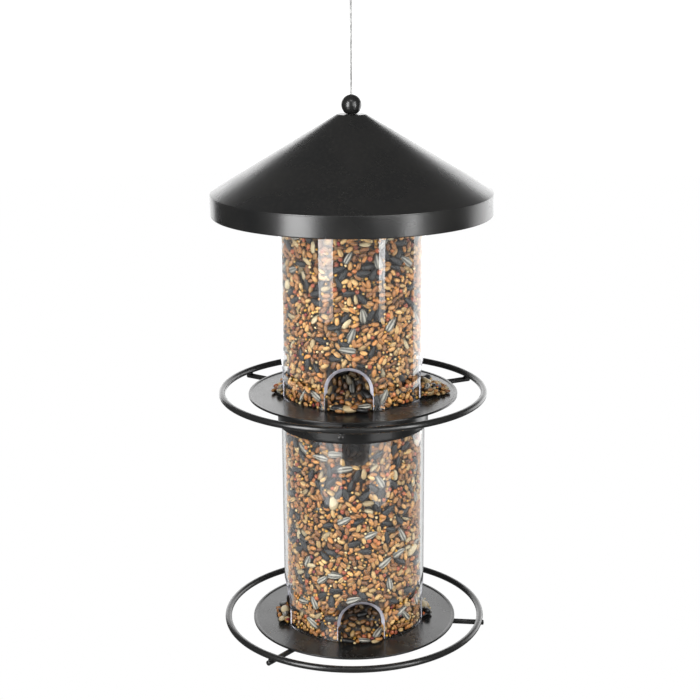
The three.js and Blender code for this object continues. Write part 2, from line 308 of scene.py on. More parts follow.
def rounded(corners: list[tuple[float, float]], radius: float, steps: int = 4) -> Array:
    """Round every corner of a closed outline.

    A corner P with neighbours A and B turns into the quadratic curve from the point at distance
    t towards A to the point at distance t towards B, where t is the radius, or 0.4 of the
    shorter side if that is less. A point a little further out on each side keeps flats flat.

    Args:
        corners: The outline's corners in order, as (across, up) pairs.
        radius: The size of the rounding.
        steps: How many steps each curve has.

    Returns:
        The rounded outline's points.
    """
    p = np.array(corners, float)
    to_before, to_after = np.roll(p, 1, axis=0) - p, np.roll(p, -1, axis=0) - p
    before = np.linalg.norm(to_before, axis=1, keepdims=True)
    after = np.linalg.norm(to_after, axis=1, keepdims=True)
    t = np.minimum(radius, 0.4 * np.minimum(before, after))
    a, b = p + to_before / before * t, p + to_after / after * t
    s = np.linspace(0, 1, steps + 1)[None, :, None]
    curve = (1 - s) ** 2 * a[:, None] + 2 * s * (1 - s) * p[:, None] + s**2 * b[:, None]
    lead = (p + to_before / before * t * 1.2)[:, None]
    trail = (p + to_after / after * t * 1.2)[:, None]
    return np.concatenate([lead, curve, trail], axis=1).reshape(-1, 2)


def turned(outline: Array, steps: int = 192) -> Shape:
    """Turn a closed outline about Z: the point (r, z) at the angle a goes to (r cos a, r sin a, z).

    Args:
        outline: Points as (radius, height) rows, none of them on the axis.
        steps: How many places it has round the turn.

    Returns:
        The closed ring.
    """
    points = polar(outline[:, :1], np.arange(steps) * TURN / steps, outline[:, 1:])
    return Shape(points.reshape(-1, 3), grid_faces(len(outline), steps, True, True)).outward()


def frames_along(path: Array) -> tuple[Array, Array]:
    """Two directions square to a path that stays near one plane.

    Args:
        path: Points along the path.

    Returns:
        For each point, a unit side direction and a unit direction square to it and the path.
    """
    along = np.gradient(path, axis=0)
    along /= np.linalg.norm(along, axis=1, keepdims=True)
    spread = path.max(axis=0) - path.min(axis=0)
    plane = np.zeros(3)
    plane[int(np.argmin(spread))] = 1.0
    side = np.cross(along, plane)
    side /= np.linalg.norm(side, axis=1, keepdims=True)
    return side, np.cross(along, side)


def rod(path: Array, radius: Array | float, sides: int = 24) -> Shape:
    """A round bar along a path, closed by a pole at each end.

    The point at the angle a about the path's point P, with the side directions S and T, is
    P + radius (S cos a + T sin a).

    Args:
        path: Points along the middle of the bar.
        radius: Its radius: one number, or a row for each point of the path with its angles.
        sides: How many places it has round its section.

    Returns:
        The closed bar.
    """
    side, other = frames_along(path)
    size = np.broadcast_to(radius, (len(path), sides))[..., None]
    angle = np.arange(sides) * TURN / sides
    ring = side[:, None] * np.cos(angle)[:, None] + other[:, None] * np.sin(angle)[:, None]
    return capped(path[:, None] + size * ring, path[0], path[-1])


def straight_rod(start: Vector, end: Vector, radius: float, round_end: float, sides: int = 28) -> Shape:
    """A straight bar with rounded ends.

    The radius near an end follows a quarter ellipse: radius times the sine of an angle that goes
    from 0 at the end to a right angle where the rounding stops.

    Args:
        start: The middle of one end.
        end: The middle of the other end.
        radius: The bar's radius.
        round_end: How long the rounding is.
        sides: How many places it has round its section.

    Returns:
        The closed bar.
    """
    a, b = np.array(start, float), np.array(end, float)
    length = float(np.linalg.norm(b - a))
    quarter = np.linspace(0.12, 1, 7) * math.pi / 2
    ends = round_end * (1 - np.cos(quarter))
    middle = np.linspace(round_end * 1.1, length - round_end * 1.1, 10)
    along = np.concatenate([ends, middle, (length - ends)[::-1]])
    sizes = radius * np.concatenate([np.sin(quarter), np.ones(10), np.sin(quarter)[::-1]])
    path = a + (b - a) * (along / length)[:, None]
    return rod(path, sizes[:, None], sides)


def blob(centre: Vector, sizes: Triple, turn: float, bumps: int = 5) -> Shape:
    """A weld bead: a flattened ball whose radius swells and shrinks a little.

    At latitude u and longitude v the radius is multiplied by 1 + 0.08 sin(bumps v) cos u.

    Args:
        centre: Where it lies.
        sizes: Its half length, half width and half height.
        turn: The angle of its length about Z, in radians.
        bumps: How many swellings go round it.

    Returns:
        The closed bead.
    """
    u = np.linspace(-math.pi / 2, math.pi / 2, 14)[1:-1, None]
    v = np.arange(24)[None, :] * TURN / 24
    swell = 1 + 0.08 * np.sin(bumps * v) * np.cos(u)
    x, y = sizes[0] * np.cos(u) * np.cos(v) * swell, sizes[1] * np.cos(u) * np.sin(v) * swell
    z = sizes[2] * np.sin(u) * np.ones_like(v)
    bead = capped(np.stack([x, y, z], axis=2), [0, 0, -sizes[2]], [0, 0, sizes[2]])
    c, s = math.cos(turn), math.sin(turn)
    bead.points = bead.points @ np.array([[c, s, 0], [-s, c, 0], [0, 0, 1]]) + np.array(centre)
    return bead


# ---- shader building


class Nodes:
    """A short way to add and join shader nodes in one node tree."""

    def __init__(self, tree: bpy.types.NodeTree) -> None:
        """Start with an empty tree."""
        self.tree = tree
        self.tree.nodes.clear()

    def add(self, kind: str, **settings: object) -> Node:
        """Add a node.

        Args:
            kind: The node's type name.
            **settings: Properties to set on it.

        Returns:
            The node.
        """
        node = self.tree.nodes.new(kind)
        for name, value in settings.items():
            setattr(node, name, value)
        return node

    def join(self, source: Socket, target: Socket) -> None:
        """Join an output to an input."""
        self.tree.links.new(source, target)

    def noise(self, place: Socket, scale: float, detail: float = 3.0) -> Socket:
        """Even noise from 0 to 1, read at a place.

        Args:
            place: The coordinates it reads.
            scale: How many features a metre it has.
            detail: How many finer layers it has.

        Returns:
            The noise's value.
        """
        node = self.add("ShaderNodeTexNoise")
        node.inputs["Scale"].default_value = scale
        node.inputs["Detail"].default_value = detail
        self.join(place, node.inputs["Vector"])
        return node.outputs["Fac"]

    def ramp(self, value: Socket, low: float, high: float, to_low: float, to_high: float) -> Socket:
        """Carry a value from one range to another, held at its ends.

        Args:
            value: The value to carry.
            low: The start of its range.
            high: The end of its range.
            to_low: What the start becomes.
            to_high: What the end becomes.

        Returns:
            The carried value.
        """
        node = self.add("ShaderNodeMapRange", clamp=True)
        for name, number in zip(
            ("From Min", "From Max", "To Min", "To Max"), (low, high, to_low, to_high)
        ):
            node.inputs[name].default_value = number
        self.join(value, node.inputs["Value"])
        return node.outputs["Result"]

    def maths(self, operation: str, first: Socket, second: Socket | float) -> Socket:
        """Work out one sum.

        Args:
            operation: The sum's name.
            first: Its first value.
            second: Its second value, a socket or a number.

        Returns:
            The result.
        """
        node = self.add("ShaderNodeMath", operation=operation)
        self.join(first, node.inputs[0])
        if isinstance(second, float):
            node.inputs[1].default_value = second
        else:
            self.join(second, node.inputs[1])
        return node.outputs["Value"]

    def blend(self, share: Socket, first: object, second: object) -> Socket:
        """Mix two colours, each a socket or four numbers, by a share.

        Args:
            share: How much of the second colour shows.
            first: The colour at 0.
            second: The colour at 1.

        Returns:
            The mixed colour.
        """
        node = self.add("ShaderNodeMix", data_type="RGBA")
        self.join(share, node.inputs[0])
        for socket, colour in ((node.inputs[6], first), (node.inputs[7], second)):
            if isinstance(colour, Socket):
                self.join(colour, socket)
            else:
                socket.default_value = colour
        return node.outputs[2]

    def bump(self, height: Socket, strength: float, distance: float) -> Socket:
        """Raise the surface by a height.

        Args:
            height: The height, from 0 to 1.
            strength: How much it shows.
            distance: How high 1 is, in metres.

        Returns:
            The bent normal.
        """
        node = self.add("ShaderNodeBump")
        node.inputs["Strength"].default_value = strength
        node.inputs["Distance"].default_value = distance
        self.join(height, node.inputs["Height"])
        return node.outputs["Normal"]

    def either(self, share: Socket, first: Socket, second: Socket) -> None:
        """Mix two shaders by a share and let the material show the result.

        Args:
            share: How much of the second shader shows.
            first: The shader at 0.
            second: The shader at 1.
        """
        mixed = self.add("ShaderNodeMixShader")
        output = next(n for n in self.tree.nodes if n.type == "OUTPUT_MATERIAL")
        self.join(share, mixed.inputs["Fac"])
        self.join(first, mixed.inputs[1])
        self.join(second, mixed.inputs[2])
        self.join(mixed.outputs["Shader"], output.inputs["Surface"])

    def in_sight(self) -> Socket:
        """1 where the camera looks, straight or through clear plastic, and 0 elsewhere."""
        path = self.add("ShaderNodeLightPath").outputs
        return self.maths("MAXIMUM", path["Is Camera Ray"], path["Is Transmission Ray"])

    def place(self) -> Socket:
        """Places on the piece, in metres."""
        return self.add("ShaderNodeTexCoord").outputs["Object"]


def start_group(name: str, inputs: dict[str, float], outputs: list[str]) -> tuple[Nodes, Node, Node]:
    """Start a shader node group with named sockets.

    Args:
        name: The group's name.
        inputs: Its number inputs with their usual values. A Place input comes before them.
        outputs: The names of its value outputs.

    Returns:
        The node builder and the nodes of the group's inputs and outputs.
    """
    tree = bpy.data.node_groups.new(name, "ShaderNodeTree")
    tree.interface.new_socket("Place", in_out="INPUT", socket_type="NodeSocketVector")
    for label, usual in inputs.items():
        socket = tree.interface.new_socket(label, in_out="INPUT", socket_type="NodeSocketFloat")
        socket.default_value = usual
    for label in outputs:
        tree.interface.new_socket(label, in_out="OUTPUT", socket_type="NodeSocketFloat")
    nodes = Nodes(tree)
    return nodes, nodes.add("NodeGroupInput"), nodes.add("NodeGroupOutput")


def orange_peel_group() -> Tree:
    """Build the fine waviness of sprayed or dipped surfaces.

    Returns:
        A group that gives a height and a patchiness.
    """
    usual = {"Ripple Scale": 900.0, "Patch Scale": 28.0}
    nodes, given, result = start_group("orange_peel", usual, ["Height", "Patches"])
    for label, output in (("Ripple Scale", "Height"), ("Patch Scale", "Patches")):
        noise = nodes.add("ShaderNodeTexNoise")
        noise.inputs["Detail"].default_value = 2.0
        nodes.join(given.outputs["Place"], noise.inputs["Vector"])
        nodes.join(given.outputs[label], noise.inputs["Scale"])
        nodes.join(noise.outputs["Fac"], result.inputs[output])
    return nodes.tree


def edge_wear_group() -> Tree:
    """Build the mask of rubbed edges.

    Returns:
        A group whose mask shows where the surface turns sharply and a noise is high.
    """
    nodes, given, result = start_group("edge_wear", {"Amount": 0.3}, ["Mask"])
    shape = nodes.add("ShaderNodeNewGeometry")
    sharp = nodes.ramp(shape.outputs["Pointiness"], 0.53, 0.62, 0.0, 1.0)
    patches = nodes.ramp(nodes.noise(given.outputs["Place"], 160.0, 4.0), 0.5, 0.62, 0.0, 1.0)
    rubbed = nodes.maths("MULTIPLY", sharp, patches)
    amount = nodes.maths("MULTIPLY", rubbed, given.outputs["Amount"])
    nodes.join(amount, result.inputs["Mask"])
    return nodes.tree


def dust_group() -> Tree:
    """Build the mask of fine dust.

    Returns:
        A group whose mask shows on faces that look up and is broken by a noise.
    """
    nodes, given, result = start_group("fine_dust", {"Amount": 0.2}, ["Mask"])
    facing = nodes.add("ShaderNodeSeparateXYZ")
    shape = nodes.add("ShaderNodeNewGeometry")
    nodes.join(shape.outputs["Normal"], facing.inputs["Vector"])
    upward = nodes.ramp(facing.outputs["Z"], 0.2, 1.0, 0.15, 1.0)
    specks = nodes.ramp(nodes.noise(given.outputs["Place"], 420.0, 5.0), 0.48, 0.72, 0.0, 1.0)
    both = nodes.maths("MULTIPLY", upward, specks)
    amount = nodes.maths("MULTIPLY", both, given.outputs["Amount"])
    nodes.join(amount, result.inputs["Mask"])
    return nodes.tree


class Effects:
    """The effects that several finishes share, each built once."""

    def __init__(self) -> None:
        """Build the groups."""
        self.orange_peel = orange_peel_group()
        self.edge_wear = edge_wear_group()
        self.dust = dust_group()

    @staticmethod
    def use(nodes: Nodes, tree: Tree, place: Socket, **values: float) -> Node:
        """Put an effect in a material.

        Args:
            nodes: The material's node builder.
            tree: The effect's group.
            place: The coordinates it reads.
            **values: The group's inputs, with _ for a space.

        Returns:
            The group's node.
        """
        node = nodes.add("ShaderNodeGroup", node_tree=tree)
        nodes.join(place, node.inputs["Place"])
        for name, value in values.items():
            node.inputs[name.replace("_", " ")].default_value = value
        return node


def start_material(name: str) -> tuple[Material, Nodes, Node]:
    """Start a material with a Principled shader.

    Args:
        name: The material's name.

    Returns:
        The material, its node builder and the shader.
    """
    material = bpy.data.materials.new(name)
    material.use_nodes = True
    nodes = Nodes(material.node_tree)
    shader = nodes.add("ShaderNodeBsdfPrincipled")
    output = nodes.add("ShaderNodeOutputMaterial")
    nodes.join(shader.outputs["BSDF"], output.inputs["Surface"])
    return material, nodes, shader


@dataclass(frozen=True)
class BlackEnamel:
    """Black stoved paint over pressed steel: satin, with a fine orange peel."""

    name: str
    effects: Effects
    shade: float = 0.014
    roughness: float = 0.34
    wear: float = 0.3
    dust: float = 0.1

    def build(self) -> Material:
        """Make the material.

        Returns:
            Black paint whose gloss changes in patches, rubbed at its edges and a little dusty.
        """
        material, nodes, shader = start_material(self.name)
        place = nodes.place()
        peel = self.effects.use(
            nodes, self.effects.orange_peel, place, Ripple_Scale=950.0, Patch_Scale=26.0
        )
        wear = self.effects.use(nodes, self.effects.edge_wear, place, Amount=self.wear)
        dust = self.effects.use(nodes, self.effects.dust, place, Amount=self.dust)
        s = self.shade
        tone_and_painted_shade = nodes.ramp(peel.outputs["Patches"], 0.3, 0.7, 0.0, 1.0)
        paint = nodes.blend(tone_and_painted_shade, (s * 0.85, s * 0.87, s * 0.88, 1), (s * 1.15, s * 1.13, s * 1.08, 1))
        worn = nodes.blend(wear.outputs["Mask"], paint, (0.09, 0.088, 0.085, 1))
        dusty = nodes.blend(dust.outputs["Mask"], worn, (0.22, 0.2, 0.17, 1))
        nodes.join(dusty, shader.inputs["Base Color"])
        gloss = nodes.ramp(
            peel.outputs["Patches"], 0.3, 0.7, self.roughness - 0.04, self.roughness + 0.05
        )
        duller = nodes.maths("ADD", gloss, nodes.maths("MULTIPLY", dust.outputs["Mask"], 0.6))
        nodes.join(duller, shader.inputs["Roughness"])
        nodes.join(nodes.bump(peel.outputs["Height"], 0.12, 0.00025), shader.inputs["Normal"])
        shader.inputs["IOR"].default_value = 1.52
        return material


@dataclass(frozen=True)
class ClearPlastic:
    """Clear acrylic tube with hair scratches and a faint haze."""

    name: str
    effects: Effects

    def build(self) -> Material:
        """Make the material.

        Returns:
            Clear plastic that lets the lamps through to what stands behind it.
        """
        material, nodes, shader = start_material(self.name)
        place = nodes.place()
        stretch = nodes.add("ShaderNodeMapping")
        stretch.inputs["Scale"].default_value = (1.0, 1.0, 0.05)
        nodes.join(place, stretch.inputs["Vector"])
        hairs = nodes.noise(stretch.outputs["Vector"], 1400.0, 2.0)
        peel = self.effects.use(
            nodes, self.effects.orange_peel, place, Ripple_Scale=60.0, Patch_Scale=22.0
        )
        scratches = nodes.ramp(hairs, 0.7, 0.85, 0.0, 0.05)
        haze = nodes.ramp(peel.outputs["Patches"], 0.35, 0.75, 0.003, 0.014)
        nodes.join(nodes.maths("ADD", haze, scratches), shader.inputs["Roughness"])
        tint = nodes.ramp(peel.outputs["Patches"], 0.3, 0.7, 0.0, 1.0)
        colour = nodes.blend(tint, (0.975, 0.985, 0.985, 1), (0.995, 0.998, 0.998, 1))
        nodes.join(colour, shader.inputs["Base Color"])
        nodes.join(nodes.bump(peel.outputs["Height"], 0.02, 0.0004), shader.inputs["Normal"])
        shader.inputs["IOR"].default_value = 1.49
        shader.inputs["Transmission Weight"].default_value = 1.0
        self.let_lamps_through(nodes, shader)
        return material

    def let_lamps_through(self, nodes: Nodes, shader: Node) -> None:
        """Show lamps a nearly clear sheet, so that the seed behind it is lit.

        Args:
            nodes: The material's node builder.
            shader: The plastic's shader.
        """
        shadow = nodes.add("ShaderNodeLightPath").outputs["Is Shadow Ray"]
        clear = nodes.add("ShaderNodeBsdfTransparent")
        clear.inputs["Color"].default_value = (0.93, 0.94, 0.94, 1)
        nodes.either(shadow, shader.outputs["BSDF"], clear.outputs["BSDF"])


@dataclass(frozen=True)
class CutPlastic:
    """The sawn edge of the acrylic, dull and greyish."""

    name: str
    effects: Effects

    def build(self) -> Material:
        """Make the material.

        Returns:
            A grey, slightly milky skin with fine saw marks.
        """
        material, nodes, shader = start_material(self.name)
        place = nodes.place()
        peel = self.effects.use(
            nodes, self.effects.orange_peel, place, Ripple_Scale=1300.0, Patch_Scale=210.0
        )
        patches = nodes.ramp(peel.outputs["Patches"], 0.35, 0.65, 0.0, 1.0)
        colour = nodes.blend(patches, (0.36, 0.36, 0.42, 1), (0.56, 0.56, 0.63, 1))
        nodes.join(colour, shader.inputs["Base Color"])
        gloss = nodes.ramp(peel.outputs["Patches"], 0.3, 0.7, 0.32, 0.5)
        nodes.join(gloss, shader.inputs["Roughness"])
        nodes.join(nodes.bump(peel.outputs["Height"], 0.25, 0.0002), shader.inputs["Normal"])
        return material


@dataclass(frozen=True)
class BareMetal:
    """Bare or plated metal with a fine grain and dull patches."""

    name: str
    effects: Effects
    light: Triple
    dark: Triple
    roughness: float = 0.34
    grain: float = 1600.0

    def build(self) -> Material:
        """Make the material.

        Returns:
            Metal whose colour and gloss change in patches.
        """
        material, nodes, shader = start_material(self.name)
        place = nodes.place()
        peel = self.effects.use(
            nodes, self.effects.orange_peel, place, Ripple_Scale=self.grain, Patch_Scale=180.0
        )
        patches = nodes.ramp(peel.outputs["Patches"], 0.35, 0.65, 0.0, 1.0)
        colour = nodes.blend(patches, (*self.dark, 1), (*self.light, 1))
        nodes.join(colour, shader.inputs["Base Color"])
        gloss = nodes.ramp(
            peel.outputs["Patches"], 0.35, 0.65, self.roughness + 0.12, self.roughness - 0.06
        )
        nodes.join(gloss, shader.inputs["Roughness"])
        nodes.join(nodes.bump(peel.outputs["Height"], 0.2, 0.0001), shader.inputs["Normal"])
        shader.inputs["Metallic"].default_value = 1.0
        return material


@dataclass(frozen=True)
class SeedCoat:
    """The dry skin of a grain, in the grain's own colour."""

    name: str
    effects: Effects
    roughness: float = 0.46
    speckle: float = 0.3
    dust: float = 0.03

    def build(self) -> Material:
        """Make the material.

        Returns:
            A matt skin with fine mottling and creases on the colour that each grain carries, painted
            shade included.
        """
        material, nodes, shader = start_material(self.name)
        place = nodes.place()
        # The colour each grain carries holds its own colour and the painted shade baked into its
        # points.
        own = nodes.add("ShaderNodeAttribute", attribute_name="grain_colour")
        mottle = nodes.ramp(nodes.noise(place, 1500.0, 4.0), 0.35, 0.7, 0.0, self.speckle)
        shadow = nodes.add("ShaderNodeMix", data_type="RGBA", blend_type="MULTIPLY")
        nodes.join(mottle, shadow.inputs[0])
        nodes.join(own.outputs["Color"], shadow.inputs[6])
        shadow.inputs[7].default_value = (0.45, 0.33, 0.22, 1)
        dust = self.effects.use(nodes, self.effects.dust, place, Amount=self.dust)
        coated = nodes.blend(dust.outputs["Mask"], shadow.outputs[2], (0.6, 0.5, 0.36, 1))
        nodes.join(coated, shader.inputs["Base Color"])
        fine = nodes.noise(place, 3200.0, 2.0)
        nodes.join(
            nodes.ramp(fine, 0.3, 0.7, self.roughness - 0.1, self.roughness + 0.12),
            shader.inputs["Roughness"],
        )
        nodes.join(nodes.bump(fine, 0.35, 0.0003), shader.inputs["Normal"])
        return material


class Finishes:
    """Every finish on the feeder."""

    def __init__(self) -> None:
        """Build them all."""
        effects = Effects()
        self.paint = BlackEnamel(
            "black_enamel", effects, shade=0.01, roughness=0.25, wear=0.1, dust=0.04
        ).build()
        self.roof_paint = BlackEnamel(
            "roof_enamel", effects, shade=0.01, roughness=0.27, wear=0.02, dust=0.03
        ).build()
        self.plastic = ClearPlastic("clear_acrylic", effects).build()
        self.cut_plastic = CutPlastic("sawn_acrylic", effects).build()
        self.strand = BareMetal(
            "steel_strand", effects, (0.34, 0.34, 0.335), (0.2, 0.2, 0.197), 0.42
        ).build()
        self.aluminium = BareMetal(
            "soft_aluminium", effects, (0.78, 0.79, 0.8), (0.6, 0.61, 0.63), 0.4
        ).build()
        self.zinc = BareMetal("zinc_plate", effects, (0.7, 0.71, 0.73), (0.5, 0.52, 0.56), 0.36).build()
        self.grain = SeedCoat("seed_coat", effects).build()
        self.husk = SeedCoat("seed_husk", effects, roughness=0.42, speckle=0.12, dust=0.01).build()


def place_piece(
    name: str, shape: Shape, material: Material, slot: Slot, *stands_for: str,
    body: Body = Body.FEEDER,
) -> Piece:
    """Make a piece of the feeder from a shape.

    Args:
        name: The piece's name.
        shape: Its surface.
        material: Its finish.
        slot: The material slot it belongs to; not used.
        *stands_for: The frame's pieces that it takes the place of.
        body: The body that it moves with.

    Returns:
        The piece.
    """
    mesh = make_mesh(name, shape.points, shape.faces)
    if shape.colours is not None:
        colours = mesh.color_attributes.new("grain_colour", "FLOAT_COLOR", "POINT")
        with_alpha = np.concatenate([shape.colours, np.ones((len(shape.colours), 1))], axis=1)
        colours.data.foreach_set("color", with_alpha.astype(np.float32).ravel())
    mesh.materials.append(material)
    piece = bpy.data.objects.new(name, mesh)
    bpy.context.scene.collection.objects.link(piece)
    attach(piece, body.value)
    if stands_for:
        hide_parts(*stands_for)
    log.info("%s: %d points, %d faces", name, len(shape.points), len(shape.faces))
    return piece


# ---- camera and cable


@dataclass
class Camera:
    """The camera in front of the feeder, a little above it and looking down."""

    sideways: float = -2.05 * MM
    distance: float = 1077 * MM
    height: float = -41.4 * MM
    pitch: float = 15.10
    roll: float = -0.35
    lens: float = 75.3

    def build(self) -> None:
        """Make the camera and let the scene use it."""
        data = bpy.data.cameras.new("camera")
        data.lens = self.lens
        data.sensor_width = 36.0
        camera = bpy.data.objects.new("camera", data)
        camera.location = (self.sideways, -self.distance, self.height)
        tilt = Matrix.Rotation(math.radians(90 - self.pitch), 4, "X")
        lean = Matrix.Rotation(math.radians(self.roll), 4, "Z")
        camera.rotation_euler = (tilt @ lean).to_euler()
        bpy.context.scene.collection.objects.link(camera)
        bpy.context.scene.camera = camera


def twisted_strand(path: Array, radius: float, lay: float, strands: int = 6, sides: int = 36) -> Shape:
    """A wire rope as one closed surface along a path.

    The radius at the angle a and the length s is that of the rope less a groove between strands:
    0.86 + 0.14 |cos(strands/2 (a - turn s / lay))|, so the grooves wind round it.

    Args:
        path: Points along the middle of the rope.
        radius: The rope's radius.
        lay: The length in which a strand winds once round.
        strands: How many outer strands there are.
        sides: How many places it has round its section.

    Returns:
        The closed rope.
    """
    steps = np.linalg.norm(np.diff(path, axis=0), axis=1)
    s = np.concatenate([[0], np.cumsum(steps)])[:, None]
    angle = np.arange(sides) * TURN / sides
    size = radius * (0.86 + 0.14 * np.abs(np.cos(strands / 2 * (angle - TURN * s / lay))))
    size[[0, -1]] *= 0.9
    return rod(path, size, sides)


def smooth_path(points: Array, steps: int) -> Array:
    """A smooth curve through given points.

    Between two points it follows the centripetal Catmull-Rom curve of those two and their
    neighbours, worked out as a chain of straight blends.

    Args:
        points: The points that it passes through.
        steps: How many steps it has between two of them.

    Returns:
        Points along the curve.
    """
    before, after = 2 * points[0] - points[1], 2 * points[-1] - points[-2]
    p = np.concatenate([[before], points, [after]])
    gaps = np.linalg.norm(np.diff(p, axis=0), axis=1) ** 0.5
    knots = np.zeros((4, len(points) - 1, 1, 1))
    for i in range(3):
        knots[i + 1] = knots[i] + gaps[i : len(points) - 1 + i, None, None]
    t = knots[1] + (knots[2] - knots[1]) * (np.arange(steps) / steps)[None, :, None]
    blends = [p[i : len(p) - 3 + i][:, None] for i in range(4)]
    for spans in (((0, 1), (1, 2), (2, 3)), ((0, 2), (1, 3)), ((1, 2),)):
        share = [(t - knots[a]) / (knots[b] - knots[a]) for a, b in spans]
        blends = [(1 - s) * blends[i] + s * blends[i + 1] for i, s in enumerate(share)]
    curve = blends[0]
    return np.concatenate([curve.reshape(-1, 3), points[-1:]])


@dataclass
class Cable:
    """The steel cable that the feeder hangs from, with its loop and pressed sleeve."""

    finishes: Finishes
    diameter: float = 1.4 * MM
    lay: float = 9 * MM
    route_points: int = 30
    strand_points: int = 700
    half_width: float = 10.3 * MM
    leg: float = 0.85 * MM
    rise: float = 34 * MM
    crimps: int = 3
    crimp_depth: float = 0.35 * MM

    def build(self) -> None:
        """Make the cable, the loop and the sleeve."""
        loop = self.loop()
        sleeve = self.sleeve()
        self.straight()

    @staticmethod
    def middle(count: int) -> Array:
        """The middle of the straight cable, from its end under the bottom tray up to the sleeve.

        Args:
            count: How many points to give.

        Returns:
            Points on the feeder's axis.
        """
        low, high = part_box("hanger_cable")
        aside = np.zeros(count)
        return np.stack([aside, aside, np.linspace(low.z, high.z, count)], axis=1)

    def straight(self) -> None:
        """Make the straight cable.
        """
        shape = twisted_strand(self.middle(self.strand_points), self.diameter / 2, self.lay)
        piece = place_piece("cable_strand", shape, self.finishes.strand, Slot.CABLE, "hanger_cable")

    def loop(self) -> Piece:
        """Make the loop above the sleeve, its legs ending inside it.

        Returns:
            The loop.
        """
        low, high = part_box("hanger_loop")
        sleeve_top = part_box("loop_sleeve")[1].z
        x, z = self.half_width, sleeve_top
        half = [
            (self.leg, low.z), (self.leg, z), (0.55 * x, z + 0.25 * self.rise),
            (x, z + 0.62 * self.rise), (0.62 * x, z + 0.91 * self.rise),
        ]
        corners = [(-a, b) for a, b in half] + [(0.0, z + self.rise)] + half[::-1]
        points = np.array([(a, 0.0, b) for a, b in corners])
        shape = twisted_strand(smooth_path(points, 26), self.diameter / 2, self.lay)
        return place_piece("cable_loop", shape, self.finishes.strand, Slot.CABLE, "hanger_loop")

    def sleeve(self) -> Piece:
        """Make the pressed sleeve: an oval barrel with grooves where the press closed on it.

        The half depth at the height z is the barrel's less a groove, which is the crimp's depth
        times a bell curve about each crimp's middle. The half width grows by a third as much.

        Returns:
            The sleeve.
        """
        low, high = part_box("loop_sleeve")
        height = np.linspace(low.z, high.z, 60)
        end = np.minimum(height - low.z, high.z - height) / (0.8 * MM)
        rounding = 1 - 0.12 * np.clip(1 - end, 0, 1) ** 2
        middles = low.z + (np.arange(self.crimps) + 0.5) * (high.z - low.z) / self.crimps
        bells = np.exp(-(((height[:, None] - middles) / (0.9 * MM)) ** 2)).sum(axis=1)
        depth = high.y * rounding - self.crimp_depth * bells
        width = (high.x - self.crimp_depth / 3) * rounding + self.crimp_depth / 3 * bells
        angle = np.arange(48) * TURN / 48
        x = width[:, None] * squarish(np.cos(angle), 0.8)
        y = depth[:, None] * squarish(np.sin(angle), 0.8)
        z = np.broadcast_to(height[:, None], x.shape)
        shape = capped(np.stack([x, y, z], axis=2), [0, 0, low.z], [0, 0, high.z])
        return place_piece("cable_sleeve", shape, self.finishes.aluminium, Slot.SLEEVE, "loop_sleeve")


# ---- trays and perches


@dataclass
class BottomTray:
    """The bottom tray, with a rolled lip and a dome that sheds seed."""

    finishes: Finishes
    sheet: float = 1 * MM
    lip_width: float = 1.8 * MM
    lip_rise: float = 0.6 * MM
    dome_foot: float = 32 * MM
    dome_head: float = 9 * MM
    bore: float = 1 * MM

    def build(self) -> None:
        """Make the tray from one rounded outline turned about the cable."""
        tray = Extent.of("bottom_tray")
        under, dome = tray.bottom, tray.top
        top, lip = under + self.sheet, tray.radius - self.lip_width
        outline = [
            (self.bore, dome - self.sheet), (self.dome_head - self.sheet / 2, dome - self.sheet),
            (self.dome_foot - self.sheet, under), (tray.radius, under),
            (tray.radius, top + self.lip_rise), (lip, top + self.lip_rise),
            (lip - self.lip_rise, top), (self.dome_foot, top), (self.dome_head, dome),
            (self.bore, dome),
        ]
        shape = turned(rounded(outline, 0.45 * MM), 224)
        place_piece("seed_tray_low", shape, self.finishes.paint, Slot.TRAY_PAINT, "bottom_tray")


@dataclass
class MiddleTray:
    """The middle tray with its seed hole, and the collar that grips the lower tube."""

    finishes: Finishes
    sheet: float = 1 * MM
    lip_width: float = 1.8 * MM
    lip_rise: float = 0.6 * MM
    hole: float = 18 * MM
    collar_sheet: float = 1.3 * MM
    flare: float = 0.35 * MM

    def build(self) -> None:
        """Make the tray and the collar."""
        self.tray()
        self.collar()

    def tray(self) -> None:
        """Turn the tray's outline: flat, lipped outside and flanged down round the hole."""
        tray = Extent.of("middle_tray")
        top = tray.top - self.lip_rise
        under, lip = top - self.sheet, tray.radius - self.lip_width
        outline = [
            (self.hole, tray.bottom), (self.hole + self.sheet, tray.bottom),
            (self.hole + self.sheet, under), (tray.radius, under), (tray.radius, tray.top),
            (lip, tray.top), (lip - self.lip_rise, top), (self.hole, top),
        ]
        shape = turned(rounded(outline, 0.45 * MM), 224)
        place_piece("seed_tray_middle", shape, self.finishes.paint, Slot.TRAY_PAINT, "middle_tray")

    def collar(self) -> None:
        """Turn the collar's outline, its lower edge drawn in a little to a smooth hem."""
        collar = Extent.of("middle_collar")
        inner = collar.radius - self.collar_sheet
        outline = [
            (inner, collar.bottom), (collar.radius - self.flare, collar.bottom),
            (collar.radius, collar.bottom + 2 * MM), (collar.radius, collar.top),
            (inner, collar.top),
        ]
        shape = turned(rounded(outline, 0.5 * MM), 224)
        place_piece("tube_collar", shape, self.finishes.paint, Slot.TRAY_PAINT, "middle_collar")


